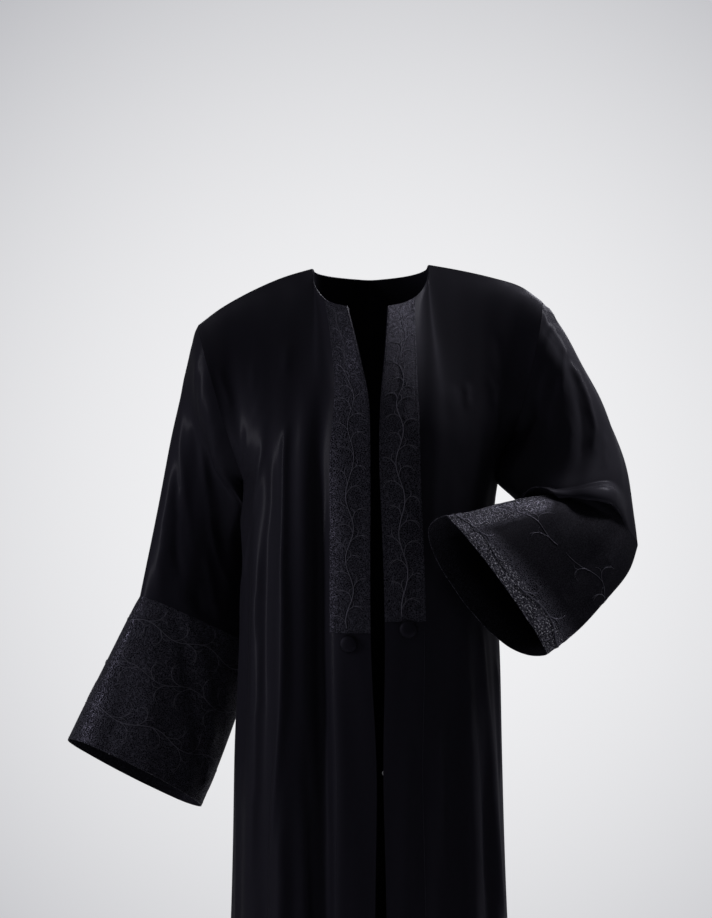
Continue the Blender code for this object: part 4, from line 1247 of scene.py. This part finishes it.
def vine_lines(vine):
    """The stem and the shoots of a vine as flat lines, each with its cord's radius."""
    chance = np.random.default_rng(vine.seed)
    start, end = np.array(vine.start), np.array(vine.end)
    length = float(np.linalg.norm(end - start))
    along = (end - start) / length
    aside = np.array([-along[1], along[0]])
    t = np.linspace(0.0, 1.0, max(4, round(length / DRAW_STEP)))
    bend = np.sin(2 * math.pi * vine.waves * t + chance.uniform(0.0, 6.0))
    stem = start + np.outer(t * length, along) + np.outer(vine.sway * bend, aside)
    lines = [(stem, vine.radius)]
    at, side = vine.spacing * 0.5, 1.0
    while at < length - vine.spacing * 0.3:
        foot, heading = branch(stem, at / length, side * SHOOT_LEAN)
        size, turn = vine.shoot * chance.uniform(0.8, 1.2), side * chance.uniform(1.5, 2.1)
        shoot = curled(foot, heading, size, turn)
        lines.append((shoot, vine.radius * SHOOT_RADIUS))
        for share, way in TWIGS:
            foot, heading = branch(shoot, share, way * side * TWIG_LEAN)
            twig = curled(foot, heading, size * chance.uniform(0.35, 0.55), way * side * TWIG_TURN)
            lines.append((twig, vine.radius * TWIG_RADIUS))
        side = -side
        at += vine.spacing * chance.uniform(0.85, 1.15)
    return lines


print("a shoot has", 1 + len(TWIGS), "lines")

# %% Laying a line on the cloth
def on_cloth(cloth, flat):
    """Points and normals of the cloth at flat places (across, down) on it."""
    rows, columns = cloth.points.shape[:2]
    u = flat[:, 0] % cloth.across[-1] if cloth.closed else flat[:, 0]
    column = np.interp(u, cloth.across, np.arange(len(cloth.across)))
    row = np.interp(flat[:, 1], cloth.down, np.arange(rows))
    r, c = np.minimum(row.astype(int), rows - 2), column.astype(int)
    c = c % columns if cloth.closed else np.minimum(c, columns - 2)
    following = (c + 1) % columns
    a, b = (row - r)[:, None], (column % columns - c)[:, None]
    found = []
    for field in (cloth.points, cloth.normals):
        above = field[r, c] * (1 - b) + field[r, following] * b
        below = field[r + 1, c] * (1 - b) + field[r + 1, following] * b
        found.append(above * (1 - a) + below * a)
    return found[0], found[1]


def inside(cloth, flat, margin):
    """The part of a line that stays on the cloth, clear of its edges."""
    keep = (flat[:, 1] > margin) & (flat[:, 1] < cloth.down[-1] - margin)
    if not cloth.closed:
        keep &= (flat[:, 0] > margin) & (flat[:, 0] < cloth.across[-1] - margin)
    out = np.flatnonzero(~keep)
    return flat[: out[0]] if len(out) else flat


middle = on_cloth(CLOTHS["back"], np.array([[0.2, 0.5]]))[0]
print("0.2 m across and 0.5 m down the back is", middle.round(3))

# %% Cords along lines
CORD_SIDES = 6
FLATNESS = 0.8  # height of a cord beside its width
TAPER = 0.45  # share of its radius that a cord loses towards its tip
LIFT = 0.00008  # clear space between a cord and the cloth


def cord_on_cloth(cloth, flat, radius):
    """Points and faces of a cord along a flat line, lying on the cloth."""
    points, normals = on_cloth(cloth, flat)
    normals /= np.linalg.norm(normals, axis=1, keepdims=True)
    along = np.gradient(points, axis=0)
    along /= np.maximum(np.linalg.norm(along, axis=1, keepdims=True), 1e-9)
    side = np.cross(normals, along)
    side /= np.maximum(np.linalg.norm(side, axis=1, keepdims=True), 1e-9)
    share = np.linspace(0.0, 1.0, len(points))
    size = radius * (1.0 - TAPER * share)[:, None]
    centre = points + normals * (size * FLATNESS + LIFT)
    turns = 2 * math.pi * np.arange(CORD_SIDES) / CORD_SIDES
    rings = [
        centre + side * size * math.cos(turn) + normals * size * FLATNESS * math.sin(turn)
        for turn in turns
    ]
    skin = np.stack(rings, axis=1).reshape(-1, 3)
    faces = []
    for i in range(len(points) - 1):
        for j in range(CORD_SIDES):
            a, b = i * CORD_SIDES + j, i * CORD_SIDES + (j + 1) % CORD_SIDES
            faces.append((a, b, b + CORD_SIDES, a + CORD_SIDES))
    last = (len(points) - 1) * CORD_SIDES
    faces.append(tuple(range(CORD_SIDES))[::-1])
    faces.append(tuple(range(last, last + CORD_SIDES)))
    return skin, faces


def add_cords(name, cloth, lines, material, slot, margin=0.003):
    """One piece made of all the cords that lie on a cloth."""
    points, faces = [], []
    for flat, radius in lines:
        flat = inside(cloth, flat, margin)
        if len(flat) < 4:
            continue
        skin, own = cord_on_cloth(cloth, flat, radius)
        base = sum(len(p) for p in points)
        points.append(skin)
        faces += [tuple(i + base for i in face) for face in own]
    mesh = bpy.data.meshes.new(name)
    mesh.from_pydata(np.concatenate(points).tolist(), [], faces)
    shape = bmesh.new()
    shape.from_mesh(mesh)
    bmesh.ops.recalc_face_normals(shape, faces=shape.faces)
    shape.to_mesh(mesh)
    shape.free()
    mesh.shade_smooth()
    return add_piece(name, mesh, material, slot)


print("cords have", CORD_SIDES, "sides")

# %% Vines on the bands and cuffs
BAND_SEEDS, CUFF_SEEDS = {"right": 11, "left": 23}, {"right": 37, "left": 53}


def band_vines(word):
    """A vine that climbs the middle of the band."""
    band = BANDS[word]
    middle, foot = band.across[-1] * 0.5, band.down[-1]
    ends = (middle, foot - 0.006), (middle, 0.010)
    vine = Vine(
        *ends, sway=0.0045, waves=5.2, spacing=0.0155, shoot=0.027, radius=0.00052,
        seed=BAND_SEEDS[word],
    )
    return vine_lines(vine)


# Share of the cuff's depth, direction, gap between shoots, their length and radius
CUFF_VINES = {
    "right": (
        (0.16, 1, 0.021, 0.034, 0.00055), (0.44, -1, 0.021, 0.036, 0.00055),
        (0.76, 1, 0.021, 0.038, 0.00055),
    ),
    "left": ((0.46, 1, 0.026, 0.026, 0.00040), (0.89, -1, 0.017, 0.024, 0.00085)),
}


def cuff_vines(word):
    """Vines across the cuff, each at its share of the depth."""
    cuff = CLOTHS["cuff_" + word]
    girth, depth = cuff.across[-1], cuff.down[-1]
    lines = []
    for i, (share, direction, spacing, shoot, radius) in enumerate(CUFF_VINES[word], start=1):
        ends = [(0.006, depth * share), (girth - 0.006, depth * share)][::direction]
        vine = Vine(
            *ends, sway=0.0055, waves=5.1, spacing=spacing, shoot=shoot, radius=radius,
            seed=CUFF_SEEDS[word] + i,
        )
        lines += vine_lines(vine)
    return lines


TRIMS = {}
for word in WORD.values():
    band, cuff = "band_" + word, "cuff_" + word
    TRIMS[band] = add_cords(band + "_vine", BANDS[word], band_vines(word), SHEENED_CORD, "jacquard")
    TRIMS[cuff] = add_cords(cuff + "_vines", CLOTHS[cuff], cuff_vines(word), SHEENED_CORD, "jacquard")
for name, trim in TRIMS.items():
    print(trim.name, len(trim.data.polygons), "faces")

# %% [markdown]
# ## Stitching
# Below its band, each front edge is turned in and held by a line of stitches that carries on
# from the band's outer edge. The bands and the hems are edge-stitched as well. Each stitch is a
# short cord, laid as the vines are, because a drawn line would not catch the light.

# %% Stitches
STITCH, STITCH_GAP, STITCH_RADIUS = 0.0030, 0.0012, 0.00028
HEM_TURN = 0.022  # depth of the hem that is turned in
CLEAR = 0.004  # distance that a line of stitches keeps from the end of its piece
EDGE_INSET = 0.0022  # distance of a band's stitches from its edge


def stitch_lines(start, end):
    """Stitches from start to end, two flat places on a piece."""
    flat = np.linspace(np.array(start), np.array(end), 80)
    steps = np.linalg.norm(np.diff(flat, axis=0), axis=1)
    along = np.concatenate([[0.0], np.cumsum(steps)])
    starts = np.arange(STITCH_GAP, along[-1] - STITCH - STITCH_GAP, STITCH + STITCH_GAP)
    lines = []
    for begin in starts:
        places = begin + STITCH * np.array([0.0, 0.33, 0.67, 1.0])
        line = np.stack([np.interp(places, along, flat[:, i]) for i in (0, 1)], axis=-1)
        lines.append((line, STITCH_RADIUS))
    return lines


def hem_stitches(cloth):
    """Stitches across a panel, along the top of its turned-in hem."""
    level = cloth.down[-1] - HEM_TURN
    return stitch_lines((CLEAR, level), (cloth.across[-1] - CLEAR, level))


def stitched(name, cloth, lines, slot):
    """Adds one piece of stitches, and keeps it under the name of what it is sewn to."""
    add_cords(name + "_stitches", cloth, lines, THREAD, slot, 0.001)


for word in WORD.values():
    front, band, cuff = CLOTHS["front_" + word], BANDS[word], CLOTHS["cuff_" + word]
    fold, foot = band.across[-1] - 0.002, band.down[-1]
    lines = stitch_lines((fold, foot + CLEAR), (fold, front.down[-1] - CLEAR))
    stitched("front_" + word, front, lines + hem_stitches(front), "crepe")
    near, far, low = EDGE_INSET, band.across[-1] - EDGE_INSET, foot - EDGE_INSET
    lines = stitch_lines((near, CLEAR), (near, low)) + stitch_lines((far, CLEAR), (far, low))
    lines += stitch_lines((near, low), (far, low))
    stitched("band_" + word, band, lines, "jacquard")
    level = cuff.down[-1] - CLEAR
    around = stitch_lines((0.0, level), (cuff.across[-1] - CLEAR, level))
    stitched("cuff_" + word, cuff, around, "jacquard")
stitched("back", CLOTHS["back"], hem_stitches(CLOTHS["back"]), "crepe")

# %% [markdown]
# ## Buttons and press stud
# A covered button is a domed mould with the crepe pulled over it and tucked under, which
# leaves a dark ring at its foot. The press stud is a pressed steel disc with a rim and a ball.
# Both could be spun from a profile. A cylinder whose top is inset and raised again and again
# gives the same round form with fewer steps.

# %% Setting a disc in the place of its CAD solid
def disc_place(node):
    """The matrix that sets a disc made on the XY plane on the base of a CAD disc."""
    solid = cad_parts[node]
    points = np.array([solid.matrix_world @ v.co for v in solid.data.vertices])
    middle = points.mean(axis=0)
    spread = points - middle
    axis = np.linalg.eigh(spread.T @ spread)[1][:, 0]
    heights = spread @ axis
    if abs(heights.max()) < abs(heights.min()):
        axis, heights = -axis, -heights
    rim = np.linalg.norm(spread - np.outer(heights, axis), axis=1)
    if heights[rim > rim.max() * 0.99].mean() > 0:
        axis, heights = -axis, -heights
    turn = Vector(axis).to_track_quat("Z", "Y").to_matrix().to_4x4()
    return Matrix.Translation(Vector(middle + axis * heights.min())) @ turn


def start_disc(name, sides, radius, height, lift):
    """A flat cylinder on the XY plane."""
    bpy.ops.object.select_all(action="DESELECT")
    bpy.ops.mesh.primitive_cylinder_add(
        vertices=sides, radius=radius, depth=height, location=(0, 0, lift + height / 2)
    )
    disc = bpy.context.object
    disc.name = name
    bpy.ops.object.transform_apply(location=True, rotation=True, scale=True)
    return disc


def raise_top(disc, steps):
    """Insets the top face again and again, raising it a little each time."""
    bpy.ops.object.mode_set(mode="EDIT")
    bpy.ops.mesh.select_mode(type="FACE")
    bpy.ops.mesh.select_all(action="DESELECT")
    shape = bmesh.from_edit_mesh(disc.data)
    top = max(shape.faces, key=lambda face: face.calc_center_median().z)
    top.select = True
    bmesh.update_edit_mesh(disc.data)
    for thickness, rise in steps:
        bpy.ops.mesh.inset(thickness=thickness)
        bpy.ops.transform.translate(value=(0, 0, rise))
    bpy.ops.object.mode_set(mode="OBJECT")


def finish_disc(disc, node, material):
    disc.data.transform(disc_place(node))
    disc.data.materials.append(material)
    disc.data.shade_smooth()
    disc.data.set_sharp_from_angle(angle=math.radians(50))
    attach(disc, "root")
    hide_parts(node)
    return disc


print("the right button sits at", disc_place("button_right").translation[:])

# %% Covered buttons
BUTTON_RADIUS = 0.0106
BUTTON_DOME = (
    (0.0007, 0.00075), (0.0011, 0.00075), (0.0017, 0.0007), (0.0022, 0.00045), (0.0026, 0.0002)
)


def covered_button(name):
    """A button on the XY plane: its dome, and the ring of crepe that is tucked under it."""
    button = start_disc(name, sides=56, radius=BUTTON_RADIUS, height=0.0014, lift=0.0001)
    raise_top(button, BUTTON_DOME)
    bpy.ops.object.select_all(action="DESELECT")
    bpy.ops.mesh.primitive_torus_add(
        major_segments=56, minor_segments=8, major_radius=BUTTON_RADIUS + 0.0005,
        minor_radius=0.0004, location=(0, 0, 0.0005)
    )
    tuck = bpy.context.object
    bpy.ops.object.transform_apply(location=True, rotation=True, scale=True)
    bpy.ops.object.select_all(action="DESELECT")
    tuck.select_set(True)
    button.select_set(True)
    bpy.context.view_layer.objects.active = button
    bpy.ops.object.join()
    return button


right_button = covered_button("button_right_cover")
left_button = right_button.copy()
left_button.data = right_button.data.copy()
left_button.name = "button_left_cover"
bpy.context.scene.collection.objects.link(left_button)
BUTTONS = {
    node: finish_disc(button, node, BUTTON_CLOTH)
    for node, button in (("button_right", right_button), ("button_left", left_button))
}
print([len(button.data.polygons) for button in BUTTONS.values()], "faces in the buttons")

# %% Press stud
STUD_RADIUS = 0.0039
STUD_RISE = (
    (0.0003, 0.00008), (0.0005, -0.00012), (0.0010, 0.00030), (0.0005, 0.0006), (0.0004, 0.00015)
)
stud = start_disc("press_stud_metal", 36, STUD_RADIUS, 0.0005, 0.00005)
raise_top(stud, STUD_RISE)
stud = finish_disc(stud, "press_stud", METAL)
print("stud", [round(v, 3) for v in stud.dimensions])

# %% [markdown]
# ## The cut of each sheet
# A sheet is described by the size it was cut to flat, how it is held, its area and what it rests
# on. The flat areas are those of a paper pattern for this size, so the worn piece has to come
# close to them.

# %% Sheets
Cut = namedtuple("Cut", "flat held area rests_on")
